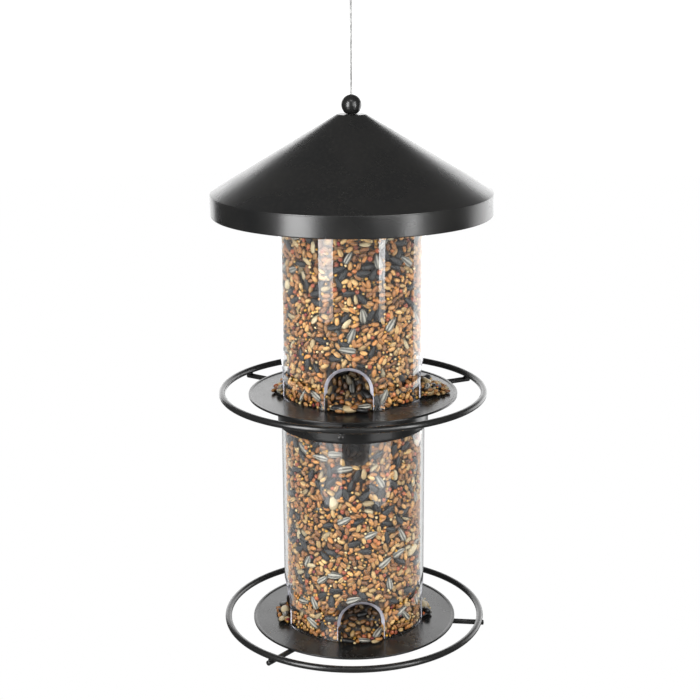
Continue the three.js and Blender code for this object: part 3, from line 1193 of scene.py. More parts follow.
@dataclass
class Perch:
    """A round wire perch on three spokes, with the weld beads that hold them."""

    finishes: Finishes
    level: str
    wire: float = 2.5 * MM
    spoke: float = 2 * MM
    end_rounding: float = 0.7 * MM
    bead: float = 1.5 * MM
    ring_bead: Triple = (1.9 * MM, 1.7 * MM, 0.9 * MM)
    edge_bead: Triple = (2.6 * MM, 1.9 * MM, 0.35 * MM)
    edge_inset: float = 27 * MM

    def build(self) -> None:
        """Make the ring and its spokes."""
        self.ring()
        for number in (1, 2, 3):
            self.spoke_bar(number)

    def ring(self) -> None:
        """Turn a round section of wire about the cable, with a bead where its ends were joined."""
        node = self.level + "_perch"
        ring = Extent.of(node)
        middle, height = ring.radius - self.wire, (ring.bottom + ring.top) / 2
        angle = np.arange(24) * TURN / 24
        section = np.stack(
            [middle + self.wire * np.cos(angle), height + self.wire * np.sin(angle)], axis=1
        )
        size = (self.bead, self.wire * 0.985, self.wire * 0.985)
        shape = Shape.joined([turned(section, 288), blob(Vector((0, middle, height)), size, 0.0)])
        place_piece(self.level + "_ring", shape, self.finishes.paint, Slot.TRAY_PAINT, node)

    def spoke_bar(self, number: int) -> None:
        """Make one spoke under the tray and out past the ring, with its two weld beads.

        Args:
            number: Which of the three it is.
        """
        node = f"{self.level}_spoke_{number}"
        low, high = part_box(node)
        ring = Extent.of(self.level + "_perch")
        turn = math.atan2(low.y + high.y, low.x + high.x)
        out = Vector((math.cos(turn), math.sin(turn), 0))
        height = (low.z + high.z) / 2
        reach = self.farthest(node, out)
        start = out * reach[0] + Vector((0, 0, height))
        end = out * reach[1] + Vector((0, 0, height))
        bar = straight_rod(start, end, self.spoke, self.end_rounding)
        touch = height + self.spoke
        at_ring = out * (ring.radius - self.wire) + Vector((0, 0, touch))
        at_edge = out * (ring.radius - self.edge_inset) + Vector((0, 0, touch - 0.1 * MM))
        beads = [blob(at_ring, self.ring_bead, turn), blob(at_edge, self.edge_bead, turn, 4)]
        shape = Shape.joined([bar, *beads])
        name = f"{self.level}_spoke_bar_{number}"
        place_piece(name, shape, self.finishes.paint, Slot.TRAY_PAINT, node)

    @staticmethod
    def farthest(node: str, out: Vector) -> tuple[float, float]:
        """How near to the cable and how far from it a spoke reaches.

        Args:
            node: The spoke's name.
            out: The direction in which it lies.

        Returns:
            The two distances along it.
        """
        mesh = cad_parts[node].data
        along = [v.co.dot(out) for v in mesh.vertices]
        return min(along), max(along)


@dataclass
class Lugs:
    """The tabs that stand in the arches and centre a tube, bent up from the tray."""

    finishes: Finishes
    level: str
    first_port: float
    count: int = 4
    steps: int = 14
    half_thickness: float = 0.8 * MM
    half_width: float = 1 * MM
    rounding: float = 1.6 * MM

    def build(self) -> None:
        """Make each tab."""
        for number in range(self.count):
            self.tab(number)

    def tab(self, number: int) -> None:
        """Make one tab: an upright strip of rounded section whose top is rounded over.

        Its section is a squared ellipse, and the section's size near the top follows the root of
        one minus the square of how far into the rounding it is.

        Args:
            number: Which tab it is, from 0.
        """
        node = f"{self.level}_lug_{number + 1}"
        low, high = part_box(node)
        lean = math.radians(self.first_port) + number * TURN / self.count
        height = np.linspace(low.z, high.z, self.steps)
        into = np.clip((height - high.z + self.rounding) / self.rounding, 0, 0.985)
        size = np.sqrt(1 - into**2)[:, None]
        angle = np.arange(20) * TURN / 20
        x = squarish(np.cos(angle), 0.55) * self.half_thickness * size
        y = squarish(np.sin(angle), 0.55) * self.half_width * size
        c, s = math.cos(lean), math.sin(lean)
        middle = (low + high) / 2
        px, py = middle.x + c * x - s * y, middle.y + s * x + c * y
        pz = np.broadcast_to(height[:, None], px.shape)
        foot, head = (middle.x, middle.y, low.z), (middle.x, middle.y, high.z)
        shape = capped(np.stack([px, py, pz], axis=2), foot, head)
        name = f"{self.level}_tab_{number + 1}"
        place_piece(name, shape, self.finishes.paint, Slot.TRAY_PAINT, node)


# ---- clear tubes


def faces_between(ids: Array, wrap: bool) -> Array:
    """Four-cornered faces between the rows of a table of point numbers.

    Args:
        ids: Point numbers, row by row.
        wrap: Whether the last column joins the first.

    Returns:
        Rows of four corner numbers.
    """
    right = np.roll(ids, -1, axis=1)
    columns = slice(None) if wrap else slice(0, -1)
    corners = [ids[:-1, columns], right[:-1, columns], right[1:, columns], ids[1:, columns]]
    return np.stack([c.ravel() for c in corners], axis=1)


@dataclass
class ClearTube:
    """A clear tube whose lower edge is cut into feeding arches, with every edge softened.

    The wall is a grid of columns. A column over an arch starts on the arch's curve, and one
    between two arches starts level with the arches' springing, with a panel of rows below it.
    """

    finishes: Finishes
    node: str
    first_port: float
    wall: float = 2 * MM
    flare: float = 2.1 * MM
    flare_start: float = 10.6 * MM
    ports: int = 4
    port_width: float = 35.5 * MM
    port_height: float = 33.5 * MM
    edge: float = 0.35 * MM
    arch_steps: int = 48
    wall_steps: int = 18
    leg_steps: int = 16
    rise_steps: int = 22
    edge_steps: int = 4
    tube: Extent = field(init=False)

    def __post_init__(self) -> None:
        """Take the tube's place from the frame."""
        self.tube = Extent.of(self.node)
        self.half = self.port_width / 2
        self.spring = self.port_height - self.half
        self.period = self.arch_steps + self.wall_steps
        self.columns = self.ports * self.period

    def build(self) -> None:
        """Make the tube."""
        name = self.node.replace("_tube", "_clear_wall")
        plastic = self.finishes.plastic
        piece = place_piece(name, self.shell(), plastic, Slot.CLEAR_TUBE, self.node)
        piece.data.materials.append(self.finishes.cut_plastic)
        middles = np.zeros(3 * len(piece.data.polygons), np.float32)
        piece.data.polygons.foreach_get("center", middles)
        which = np.zeros(len(piece.data.polygons), np.int32)
        which[self.cut_faces] = middles[2::3][self.cut_faces] > self.tube.bottom + 1 * MM
        piece.data.polygons.foreach_set("material_index", which)

    def flare_at(self, rise: float) -> float:
        """How far the cut leans into the arch at the wall's inner side, none beside the tabs."""
        share = min(max((rise - self.flare_start) / (4 * MM), 0.0), 1.0)
        return self.flare * smooth(share)

    def column_angles(self, half: float, radius: float) -> Array:
        """The angle of every column at one radius.

        Over an arch, the column at the angle p of the half circle stands at the sideways place
        -half cos p, so its angle about the cable is the arcsine of that over the radius.
        Between two arches the share s - 0.12 sin(2 pi s) spreads them, closer at the two legs.

        Args:
            half: Half the arch's width.
            radius: The distance from the cable.

        Returns:
            One angle for each column.
        """
        p = np.arange(self.arch_steps + 1) / self.arch_steps * math.pi
        over = np.arcsin(-half * np.cos(p) / radius)
        leg = math.asin(half / radius)
        s = np.arange(1, self.wall_steps) / self.wall_steps
        step = TURN / self.ports
        between = leg + (step - 2 * leg) * (s - 0.12 * np.sin(TURN * s))
        starts = np.arange(self.ports) * step + math.radians(self.first_port)
        return (starts[:, None] + np.concatenate([over, between])[None, :]).ravel()

    def column_feet(self, half: float) -> Array:
        """How high over the tube's foot each column starts: spring + half sin p on an arch.

        Args:
            half: Half the arch's width.

        Returns:
            One height for each column.
        """
        p = np.arange(self.arch_steps + 1) / self.arch_steps * math.pi
        level = np.full(self.wall_steps - 1, self.spring)
        return np.tile(np.concatenate([self.spring + half * np.sin(p), level]), self.ports)

    def side(self, off: float, radius: float, lean: float) -> Array:
        """The points of one side of the wall.

        Args:
            off: How far its edges stand back from the cuts and the rim.
            radius: The distance from the cable.
            lean: The share of the flare that the cut has there.

        Returns:
            The columns' points row by row, and then the panels' points below them.
        """
        half = self.half + off - lean * self.flare
        angle, feet = self.column_angles(half, radius), self.column_feet(half)
        share = np.concatenate([[0, 0.004], np.linspace(0.04, 0.996, self.rise_steps - 2), [1]])
        top = self.tube.top - self.tube.bottom - off
        rise = feet + (top - feet) * share[:, None]
        drop = off + (self.spring - off) * (np.arange(self.leg_steps) / self.leg_steps)
        drop[1] = off + 0.06 * (self.spring - off)
        halves = [self.half + off - lean * self.flare_at(d) for d in drop]
        panel = np.stack([self.column_angles(h, radius)[self.panel_columns()] for h in halves])
        low = np.broadcast_to(drop[:, None, None], panel.shape)
        upper = np.broadcast_to(angle, rise.shape).ravel()
        around = np.concatenate([upper, panel.ravel()])
        height = np.concatenate([rise.ravel(), low.ravel()]) + self.tube.bottom
        return polar(radius, around, height)

    def panel_columns(self) -> Array:
        """For each panel between two arches, the columns that stand on it, legs included."""
        starts = np.arange(self.ports)[:, None] * self.period + self.arch_steps
        return (starts + np.arange(self.wall_steps + 1)) % self.columns

    def panel_ids(self) -> Array:
        """Number the points of the panels below the columns.

        Returns:
            Point numbers row by row, the topmost row being the columns' own feet.
        """
        wide = self.wall_steps + 1
        first = (self.rise_steps + 1) * self.columns
        own = first + np.arange(self.leg_steps * self.ports * wide)
        own = own.reshape(self.leg_steps, self.ports, wide)
        return np.concatenate([own, self.panel_columns()[None]])

    def side_faces(self) -> Array:
        """Join the points of one side.

        Returns:
            Its faces, pointing away from the cable.
        """
        upper = np.arange((self.rise_steps + 1) * self.columns).reshape(-1, self.columns)
        panels = self.panel_ids()
        parts = [faces_between(upper, True)]
        parts += [faces_between(panels[:, q], False) for q in range(self.ports)]
        return np.concatenate(parts)

    def lower_edge(self) -> Array:
        """Follow the whole lower edge: over an arch, down a leg, along, and up.

        Returns:
            Point numbers along it.
        """
        panels = self.panel_ids()
        parts = []
        for q in range(self.ports):
            parts.append(q * self.period + np.arange(self.arch_steps + 1))
            parts.append(panels[-2::-1, q, 0])
            parts.append(panels[0, q, 1:])
            parts.append(panels[1:-1, q, -1])
        return np.concatenate(parts)

    def edge_band(self, edge: Array, first_new: int, inner: int) -> tuple[Array, Array]:
        """The softened edge and cut face between the two sides.

        At the angle a of the quarter round, the edge stands back by edge (1 - sin a) and lies
        edge (1 - cos a) below the surface, outside first and then inside, where the cut leans
        into the arch by the flare.

        Args:
            edge: Point numbers of the edge on the outer side.
            first_new: The number of the first new point.
            inner: How much higher the numbers of the inner side are.

        Returns:
            The new points and the faces.
        """
        a = np.arange(1, self.edge_steps + 1) / self.edge_steps * math.pi / 2
        off, sunk = self.edge * (1 - np.sin(a)), self.edge * (1 - np.cos(a))
        outer, inner_radius = self.tube.radius - sunk, self.tube.radius - self.wall + sunk[::-1]
        rows = [self.side(o, r, 0.0)[edge] for o, r in zip(off, outer)]
        rows += [self.side(o, r, 1.0)[edge] for o, r in zip(off[::-1], inner_radius)]
        new = first_new + np.arange(len(rows) * len(edge)).reshape(len(rows), -1)
        ids = np.concatenate([edge[None], new, edge[None] + inner])
        return np.concatenate(rows), faces_between(ids, True)

    def shell(self) -> Shape:
        """Make the whole wall: two sides, the lower edge with its arches, and the upper rim.

        Returns:
            The closed wall.
        """
        outer = self.side(self.edge, self.tube.radius, 0.0)
        inner = self.side(self.edge, self.tube.radius - self.wall, 1.0)
        count, faces = len(outer), self.side_faces()
        rim = np.arange(self.columns) + self.rise_steps * self.columns
        low_points, low_faces = self.edge_band(self.lower_edge(), 2 * count, count)
        rim_points, rim_faces = self.edge_band(rim, 2 * count + len(low_points), count)
        points = np.concatenate([outer, inner, low_points, rim_points])
        self.cut_faces = slice(2 * len(faces), 2 * len(faces) + len(low_faces))
        all_faces = [faces, flipped(faces + count), flipped(low_faces), rim_faces]
        return Shape(points, np.concatenate(all_faces)).outward()


# ---- roof and finial


@dataclass
class Roof:
    """The conical roof, pressed from sheet, with an upright band folded in at its lower edge."""

    finishes: Finishes
    sheet: float = 1 * MM
    slope: float = math.radians(31.2)
    top_radius: float = 10.5 * MM
    hole: float = 3.3 * MM
    hem_width: float = 2.6 * MM
    hem_height: float = 2.6 * MM
    softness: float = 0.9 * MM
    lap: float = 0.7 * MM

    def build(self) -> None:
        """Make the cone and the band."""
        self.cone()
        self.band()

    def cone(self) -> None:
        """Turn the cone's outline, its edges rounded as a press leaves them."""
        cone = Extent.of("roof_cone")
        rise = self.sheet / math.cos(self.slope)
        outline = [
            (self.hole, cone.top - self.sheet),
            (self.top_radius - self.sheet / 2, cone.top - self.sheet), (cone.radius, cone.bottom),
            (cone.radius, cone.bottom + rise), (self.top_radius, cone.top), (self.hole, cone.top),
        ]
        shape = turned(rounded(outline, self.softness, 6), 288)
        paint = self.finishes.roof_paint
        place_piece("roof_shell", shape, paint, Slot.ROOF_PAINT, "roof_cone", body=Body.ROOF)

    def band(self) -> None:
        """Turn the band's outline, with its folded hem."""
        band = Extent.of("roof_rim")
        inner, top = band.radius - self.sheet, band.top + self.lap
        outline = [
            (band.radius - self.hem_width, band.bottom), (band.radius, band.bottom),
            (band.radius, top), (inner, top), (inner, band.bottom + self.hem_height),
            (band.radius - self.hem_width, band.bottom + self.hem_height),
        ]
        shape = turned(rounded(outline, 0.8 * MM, 6), 288)
        paint = self.finishes.roof_paint
        place_piece("roof_band", shape, paint, Slot.ROOF_PAINT, "roof_rim", body=Body.ROOF)


@dataclass
class Finial:
    """The ball on the roof, its hollow stem, and the washer and nut that hold it."""

    finishes: Finishes
    bore: float = 1 * MM
    stem: float = 3 * MM
    nut_flats: float = 10 * MM
    nut_bore: float = 3.3 * MM

    def build(self) -> None:
        """Make the ball, the washer and the nut."""
        self.ball()
        self.washer("finial_washer", "roof_washer", Body.FINIAL)
        self.nut()

    def ball(self) -> None:
        """Turn the ball: an arc from its seat to its bore, with the stem below it."""
        part = Extent.of("finial_ball")
        radius = part.radius
        centre = part.top - math.sqrt(radius**2 - self.bore**2)
        seat = Extent.of("roof_cone").top + 0.3 * MM
        low = math.asin((seat - centre) / radius)
        high = math.acos(self.bore / radius)
        angle = np.linspace(low, high, 72)
        arc = np.stack([radius * np.cos(angle), centre + radius * np.sin(angle)], axis=1)
        lip = [(self.bore, part.top - 0.4 * MM), (self.bore, part.bottom)]
        foot = [(self.stem, part.bottom), (self.stem, seat - 0.05 * MM), (self.stem, seat)]
        outline = np.concatenate([arc, np.array(lip), np.array(foot)])
        shape, paint = turned(outline, 96), self.finishes.paint
        place_piece("finial_knob", shape, paint, Slot.ROOF_PAINT, "finial_ball", body=Body.FINIAL)

    def washer(self, node: str, name: str, body: Body, bore: float = 3.3 * MM) -> None:
        """Turn a washer with softened edges.

        Args:
            node: The frame's piece that it stands for.
            name: The new piece's name.
            body: The body that it moves with.
            bore: The radius of its hole.
        """
        part = Extent.of(node)
        outline = [
            (bore, part.bottom), (part.radius, part.bottom), (part.radius, part.top),
            (bore, part.top),
        ]
        shape = turned(rounded(outline, 0.25 * MM), 64)
        place_piece(name, shape, self.finishes.zinc, Slot.ZINC, node, body=body)

    def nut(self) -> None:
        """Make the hexagon nut.

        Its side lies at flats / 2 / cos(b), where b is the angle from the middle of the nearest
        flat. At its two ends a cone cuts the corners to the flats' own radius plus a little.
        """
        low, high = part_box("finial_nut")
        angle = np.arange(96) * TURN / 96
        b = (angle + math.pi / 6) % (math.pi / 3) - math.pi / 6
        side = self.nut_flats / 2 / np.cos(b)
        cut = self.nut_flats / 2 + np.array([0.05, 0.45, 1.0]) * MM
        limits = np.concatenate([cut, cut[::-1]])
        drop = np.array([0.0, 0.35, 0.9]) * MM
        heights = np.concatenate([low.z + drop, high.z - drop[::-1]])
        outer = np.minimum(side[None, :], limits[:, None])
        radius = np.concatenate([outer, np.full((2, 96), self.nut_bore)])
        height = np.concatenate([heights, [high.z, low.z]])[:, None]
        points = polar(radius, angle, height).reshape(-1, 3)
        shape = Shape(points, grid_faces(8, 96, True, True)).outward()
        zinc = self.finishes.zinc
        place_piece("roof_nut", shape, zinc, Slot.ZINC, "finial_nut", body=Body.FINIAL)


@dataclass
class Anchor:
    """The washer and pressed sleeve that hold the cable's end under the dome."""

    finishes: Finishes
    bore: float = 1 * MM

    def build(self) -> None:
        """Make the washer and the sleeve."""
        Finial(self.finishes).washer("anchor_washer", "cable_washer", Body.FEEDER, self.bore)
        self.sleeve()

    def sleeve(self) -> None:
        """Turn the sleeve, waisted where the press closed on it."""
        part = Extent.of("anchor_sleeve")
        height = np.linspace(part.bottom, part.top, 40)
        share = (height - part.bottom) / (part.top - part.bottom)
        waist = 0.3 * MM * np.sin(3 * math.pi * share) ** 2
        side = np.stack([part.radius - waist, height], axis=1)
        hole = np.array([(self.bore, part.top), (self.bore, part.bottom)])
        shape = turned(np.concatenate([side, hole]), 64)
        place_piece("cable_ferrule", shape, self.finishes.aluminium, Slot.SLEEVE, "anchor_sleeve")


# ---- seed


def shade(red: int, green: int, blue: int) -> Triple:
    """A colour given as a painter's 0 to 255 values, as linear light, a little under full."""
    return tuple(0.7 * (v / 255) ** 2.2 for v in (red, green, blue))


@dataclass(frozen=True)
class GrainKind:
    """A kind of seed: its size, its form, its colours and how much of a bed it covers."""

    name: str
    length: float
    width: float
    thickness: float
    cover: float
    colours: tuple[Triple, ...]
    columns: int = 8
    rings: int = 4
    point: float = 0.0
    crease: float = 0.0
    crease_shade: float = 0.0
    stripe: Triple | None = None
    smooth_husk: bool = False
    low_down: float = 0.0
    tries: int = 9000

    def form(self) -> tuple[Array, Array, Array, Array]:
        """One grain of this kind, lying along X.

        At latitude u and longitude v it is (length/2 sin u, width/2 k cos v, thickness/2 k sin v)
        with k = cos(u)^0.8 (1 - point sin u). A crease along one side is pressed in and darkened
        with painted shade, and every second column belongs to the stripes. The colour also gets a
        painted shade towards the grain's two ends, where k is small.

        Returns:
            Its points, its faces, and for each point how much of the stripe it shows and how much
            of its own colour is left under the painted shade.
        """
        u = np.linspace(-math.pi / 2, math.pi / 2, self.rings + 2)[1:-1, None]
        column = np.arange(self.columns)[None, :]
        v = column * TURN / self.columns
        k = np.cos(u) ** 0.8 * (1 - self.point * np.sin(u))
        furrow = np.exp(-(((v - 0.3 * TURN) / 0.3) ** 2)) * np.ones_like(u)
        x = self.length / 2 * np.sin(u) * np.ones_like(v)
        y = self.width / 2 * k * np.cos(v)
        z = self.thickness / 2 * k * np.sin(v) * (1 - self.crease * furrow)
        poles = np.array([[-self.length / 2, 0, 0], [self.length / 2, 0, 0]])
        points = np.concatenate([np.stack([x, y, z], axis=2).reshape(-1, 3), poles])
        striped = np.concatenate([np.tile(column % 2, (self.rings, 1)).ravel(), [0.5, 0.5]])
        # Painted shade: the colour is darkened in the crease and towards the grain's two ends.
        own = (1 - self.crease_shade * furrow) * (0.5 + 0.5 * np.minimum(k, 1))
        own = np.concatenate([own.ravel(), [0.5, 0.5]])
        return points, capped_faces(self.rings, self.columns), striped, own

    def footprint(self) -> float:
        """The area that one grain covers."""
        return math.pi / 4 * self.length * self.width


WHEAT_TONES = (
    shade(194, 138, 78), shade(170, 114, 60), shade(212, 160, 94), shade(148, 96, 50),
    shade(200, 134, 66), shade(214, 174, 112),
)
KINDS = (
    GrainKind(
        "peanuts", 12 * MM, 7.5 * MM, 4.5 * MM, 0.01, (shade(222, 204, 164), shade(212, 188, 142)),
        columns=10, rings=5, tries=60,
    ),
    GrainKind(
        "striped_sunflower", 12 * MM, 5.4 * MM, 3.4 * MM, 0.07, (shade(20, 20, 20), shade(32, 31, 29)),
        columns=12, rings=5, point=0.3, stripe=shade(208, 204, 190), smooth_husk=True, tries=900,
    ),
    GrainKind(
        "black_sunflower", 10.5 * MM, 5 * MM, 3.4 * MM, 0.13,
        (shade(8, 8, 9), shade(17, 17, 19), shade(12, 11, 11)),
        columns=10, rings=5, point=0.3, stripe=shade(40, 41, 43), smooth_husk=True,
        low_down=-0.55, tries=2600,
    ),
    GrainKind(
        "pale_kernels", 8.5 * MM, 4.2 * MM, 2.2 * MM, 0.03,
        (shade(206, 188, 148), shade(190, 166, 122)), point=0.2, tries=700,
    ),
    GrainKind(
        "wheat", 6.2 * MM, 3.4 * MM, 3 * MM, 0.42, WHEAT_TONES, columns=10, point=0.06,
        crease=0.16, crease_shade=0.5, tries=15000,
    ),
    GrainKind(
        "sorghum", 3.9 * MM, 3.6 * MM, 3.1 * MM, 0.07,
        (shade(182, 92, 44), shade(200, 120, 60), shade(160, 76, 42)), rings=3, tries=6000,
    ),
    GrainKind(
        "red_seed", 3.4 * MM, 2.5 * MM, 2.2 * MM, 0.004, (shade(138, 34, 32), shade(122, 40, 46)),
        rings=3, tries=500,
    ),
    GrainKind(
        "millet", 2.4 * MM, 2.1 * MM, 1.9 * MM, 0.27,
        (
            shade(214, 158, 80), shade(222, 178, 100), shade(200, 134, 56), shade(228, 202, 148),
            shade(212, 154, 44), shade(186, 114, 50),
        ),
        columns=6, rings=3, low_down=0.75, tries=26000,
    ),
)


class Bed:
    """A flat strip on which grains are dropped without piling up on each other."""

    CELL = 0.45 * MM
    HEADINGS = 24
    WAVES = 7
    SHORTEST_WAVE = 26 * MM

    def __init__(self, width: float, height: float, wraps: bool, chance: np.random.Generator) -> None:
        """Start with an empty bed.

        Args:
            width: Its size sideways.
            height: Its size upwards.
            wraps: Whether its two sides meet, as on an unrolled tube.
            chance: The source of random numbers.
        """
        self.width, self.height, self.wraps, self.chance = width, height, wraps, chance
        self.rows, self.columns = int(height / self.CELL), int(width / self.CELL)
        self.taken = np.zeros((self.rows, self.columns), bool)
        self.tilt, self.start, self.spread = chance.random((3, self.WAVES))

    def patches(self, x: Array, z: Array) -> Array:
        """A smooth field that is high in some patches of the bed and low in others.

        It is twice the mean of cos(2 pi (run / length + start)) over waves of several lengths,
        where run is how far a place lies along the wave's own direction.

        Args:
            x: Sideways places.
            z: Heights.

        Returns:
            The field there, about -1 to 1.
        """
        run = x[:, None] * np.cos(self.tilt * TURN) + z[:, None] * np.sin(self.tilt * TURN)
        length = self.SHORTEST_WAVE * (1 + 2.2 * self.spread)
        return np.cos(TURN * run / length + self.start * TURN).mean(axis=1) * 2

    def prints(self, kind: GrainKind, share: float) -> list[tuple[Array, Array]]:
        """The cells that a grain covers for each heading.

        Args:
            kind: The grain's kind.
            share: The share of its outline that counts.

        Returns:
            For each heading, the cells' row and column offsets.
        """
        reach = int(kind.length / self.CELL / 2) + 2
        across, up = np.meshgrid(np.arange(-reach, reach + 1), np.arange(-reach, reach + 1))
        found = []
        for heading in range(self.HEADINGS):
            turn = heading * math.pi / self.HEADINGS
            along = (across * math.cos(turn) + up * math.sin(turn)) * self.CELL / kind.length
            aside = (up * math.cos(turn) - across * math.sin(turn)) * self.CELL / kind.width
            inside = along**2 + aside**2 <= (share / 2) ** 2
            found.append((up[inside], across[inside]))
        return found

    def drop(self, kind: GrainKind, cover: float, tries: int, overlap: float) -> Array:
        """Drop grains one by one where there is room.

        Args:
            kind: The grains' kind.
            cover: The share of the bed that they should cover.
            tries: How many times to try.
            overlap: The share of a grain that may lie on others.

        Returns:
            Rows of sideways place, height, heading and size.
        """
        wanted = int(cover * self.width * self.height / kind.footprint())
        x, z = self.chance.random(tries) * self.width, self.chance.random(tries) * self.height
        heading = self.chance.integers(0, self.HEADINGS, tries)
        liking = 0.55 + 0.5 * self.patches(x, z) * (kind.cover < 0.2)
        liking = liking + kind.low_down * (0.55 - z / self.height)
        keen = self.chance.random(tries) < np.clip(liking, 0.04, 1)
        prints, found = self.prints(kind, 0.96), []
        for i in np.flatnonzero(keen):
            rows = prints[heading[i]][0] + int(z[i] / self.CELL)
            columns = prints[heading[i]][1] + int(x[i] / self.CELL)
            if rows[0] < 0 or rows[-1] >= self.rows:
                continue
            if self.wraps:
                columns = columns % self.columns
            elif columns.min() < 0 or columns.max() >= self.columns:
                continue
            if self.taken[rows, columns].mean() > overlap:
                continue
            self.taken[rows, columns] = True
            found.append(i)
            if len(found) >= wanted:
                break
        size = 0.86 + 0.28 * self.chance.random(len(found))
        turn = heading[found] * math.pi / self.HEADINGS
        return np.stack([x[found], z[found], turn, size], axis=1).reshape(-1, 4)


class Heap:
    """Grains gathered kind by kind, to be made into pieces."""

    MOST_TRIANGLES = 180_000

    def __init__(
        self, level: str, finishes: Finishes, chance: np.random.Generator, floor: float
    ) -> None:
        """Start with no grains.

        Args:
            level: The level's name.
            finishes: The feeder's finishes.
            chance: The source of random numbers.
            floor: The height that no grain goes below.
        """
        self.level, self.finishes, self.chance, self.floor = level, finishes, chance, floor
        self.grains: dict[str, list[tuple[Array, ...]]] = {k.name: [] for k in KINDS}

    def add(
        self, kind: GrainKind, centres: Array, across: Array, up: Array, turn: Array, size: Array,
        wobble: float = 0.2, within: Array | float = math.inf, tone_and_painted_shade: Array | float = 1.0,
    ) -> None:
        """Add grains that lie on a surface.

        Args:
            kind: Their kind.
            centres: Their middles.
            across: For each, a unit direction along the surface.
            up: For each, the other unit direction along the surface.
            turn: The angle of each in the surface.
            size: The size of each, 1 for the usual one.
            wobble: How far they lean out of the surface, in radians.
            within: For each, the distance from the cable that it stays within.
            tone_and_painted_shade: For each, how much of its colour shows under the painted shade that
                darkens it where it lies deep.
        """
        normal = out = np.cross(across, up)
        c, s = np.cos(turn)[:, None], np.sin(turn)[:, None]
        long, wide = across * c + up * s, up * c - across * s
        lean = self.chance.normal(0, wobble, (len(turn), 1))
        roll = self.chance.normal(0, wobble * 2.2, (len(turn), 1))
        roll = roll + math.pi * self.chance.integers(0, 2, (len(turn), 1))
        wide, out = wide * np.cos(roll) + out * np.sin(roll), out * np.cos(roll) - wide * np.sin(roll)
        long, out = long * np.cos(lean) + out * np.sin(lean), out * np.cos(lean) - long * np.sin(lean)
        axes = np.stack([long, wide, out], axis=1) * size[:, None, None]
        centres = self.kept_inside(kind, centres, axes, within)
        tone_and_painted_shade = np.broadcast_to(tone_and_painted_shade, len(turn))
        self.grains[kind.name].append((centres, axes, normal, tone_and_painted_shade))

    def kept_inside(self, kind: GrainKind, centres: Array, axes: Array, within: Array | float) -> Array:
        """Draw grains towards the cable and lift them until every point of theirs is inside.

        Args:
            kind: Their kind.
            centres: Their middles.
            axes: For each, its three directions.
            within: For each, the greatest distance from the cable.

        Returns:
            The new middles, with no point farther out than that or below the floor.
        """
        placed = centres[:, None] + np.einsum("pk,nkj->npj", kind.form()[0], axes)
        over = (np.hypot(placed[:, :, 0], placed[:, :, 1]).max(axis=1) - within).clip(0)
        share = 1 - over / np.hypot(centres[:, 0], centres[:, 1]).clip(MM)
        rise = (self.floor - placed[:, :, 2].min(axis=1)).clip(0)
        x, y, z = centres.T
        return np.stack([x * share, y * share, z + rise], axis=1)

    def colours_of(self, kind: GrainKind, count: int, striped: Array, own: Array) -> Array:
        """A colour for each point of each grain.

        Args:
            kind: The grains' kind.
            count: How many grains there are.
            striped: For each point of a grain, how much of the stripe it shows.
            own: For each point of a grain, how much of its colour is left under the painted shade of
                its crease and ends.

        Returns:
            Colours, grain by grain and point by point.
        """
        palette = np.array(kind.colours)
        base = palette[self.chance.integers(0, len(palette), count)]
        base = base * self.chance.normal(1, 0.13, (count, 1)).clip(0.65, 1.35)
        whole = np.repeat(base[:, None], len(striped), axis=1)
        if kind.stripe is not None:
            share = (striped * 0.85)[None, :, None]
            whole = whole * (1 - share) + np.array(kind.stripe) * share
        return (whole * own[None, :, None]).clip(0, 1)

    def shape_of(
        self, kind: GrainKind, centres: Array, axes: Array, normal: Array, tone_and_painted_shade: Array
    ) -> Shape:
        """The surface of many grains: centre + x long + y wide + z out for each point (x, y, z).

        A painted shade between grains darkens a point by its height h over the middle, in half
        thicknesses, along the bed's normal: 0.3 + 0.7 smooth((h + 0.8) / 1.4).

        Args:
            kind: The grains' kind.
            centres: Their middles.
            axes: For each, its three directions.
            normal: For each, the bed's normal.
            tone_and_painted_shade: For each, how much of its colour shows under the painted shade for
                its depth.

        Returns:
            All of them as one shape.
        """
        points, faces, striped, own = kind.form()
        offset = np.einsum("pk,nkj->npj", points, axes)
        placed = centres[:, None] + offset
        height = np.einsum("npj,nj->np", offset, normal) / (kind.thickness / 2)
        # Painted shade: points low on a grain, where it meets its neighbours, and grains lying deep get
        # a darker colour.
        shown = (0.3 + 0.7 * smooth(np.clip((height + 0.8) / 1.4, 0, 1))) * tone_and_painted_shade[:, None]
        offsets = np.arange(len(centres)) * len(points)
        all_faces = (faces[None] + offsets[:, None, None]).reshape(-1, 4)
        colours = self.colours_of(kind, len(centres), striped, own)
        colours = colours * shown[:, :, None]
        shape = Shape(placed.reshape(-1, 3), all_faces, colours.reshape(-1, 3))
        one = volume_of(placed[0] - placed[0].mean(axis=0), faces)
        if one < 0:
            shape.faces = flipped(shape.faces)
        return shape

    def build(self, node: str) -> None:
        """Make the pieces, as many for each kind as its grains need.

        Args:
            node: The frame's piece that the first one takes the place of.
        """
        stands_for = [node]
        for kind in KINDS:
            if not self.grains[kind.name]:
                continue
            gathered = [np.concatenate(g) for g in zip(*self.grains[kind.name])]
            each = kind.columns * kind.rings * 2
            parts = math.ceil(len(gathered[0]) * each / self.MOST_TRIANGLES)
            skin = self.finishes.husk if kind.smooth_husk else self.finishes.grain
            for number, chosen in enumerate(np.array_split(np.arange(len(gathered[0])), parts)):
                shape = self.shape_of(kind, *(g[chosen] for g in gathered))
                name = f"{self.level}_{kind.name}_{number + 1}"
                place_piece(name, shape, skin, Slot.SEED, *stands_for)
                stands_for = []


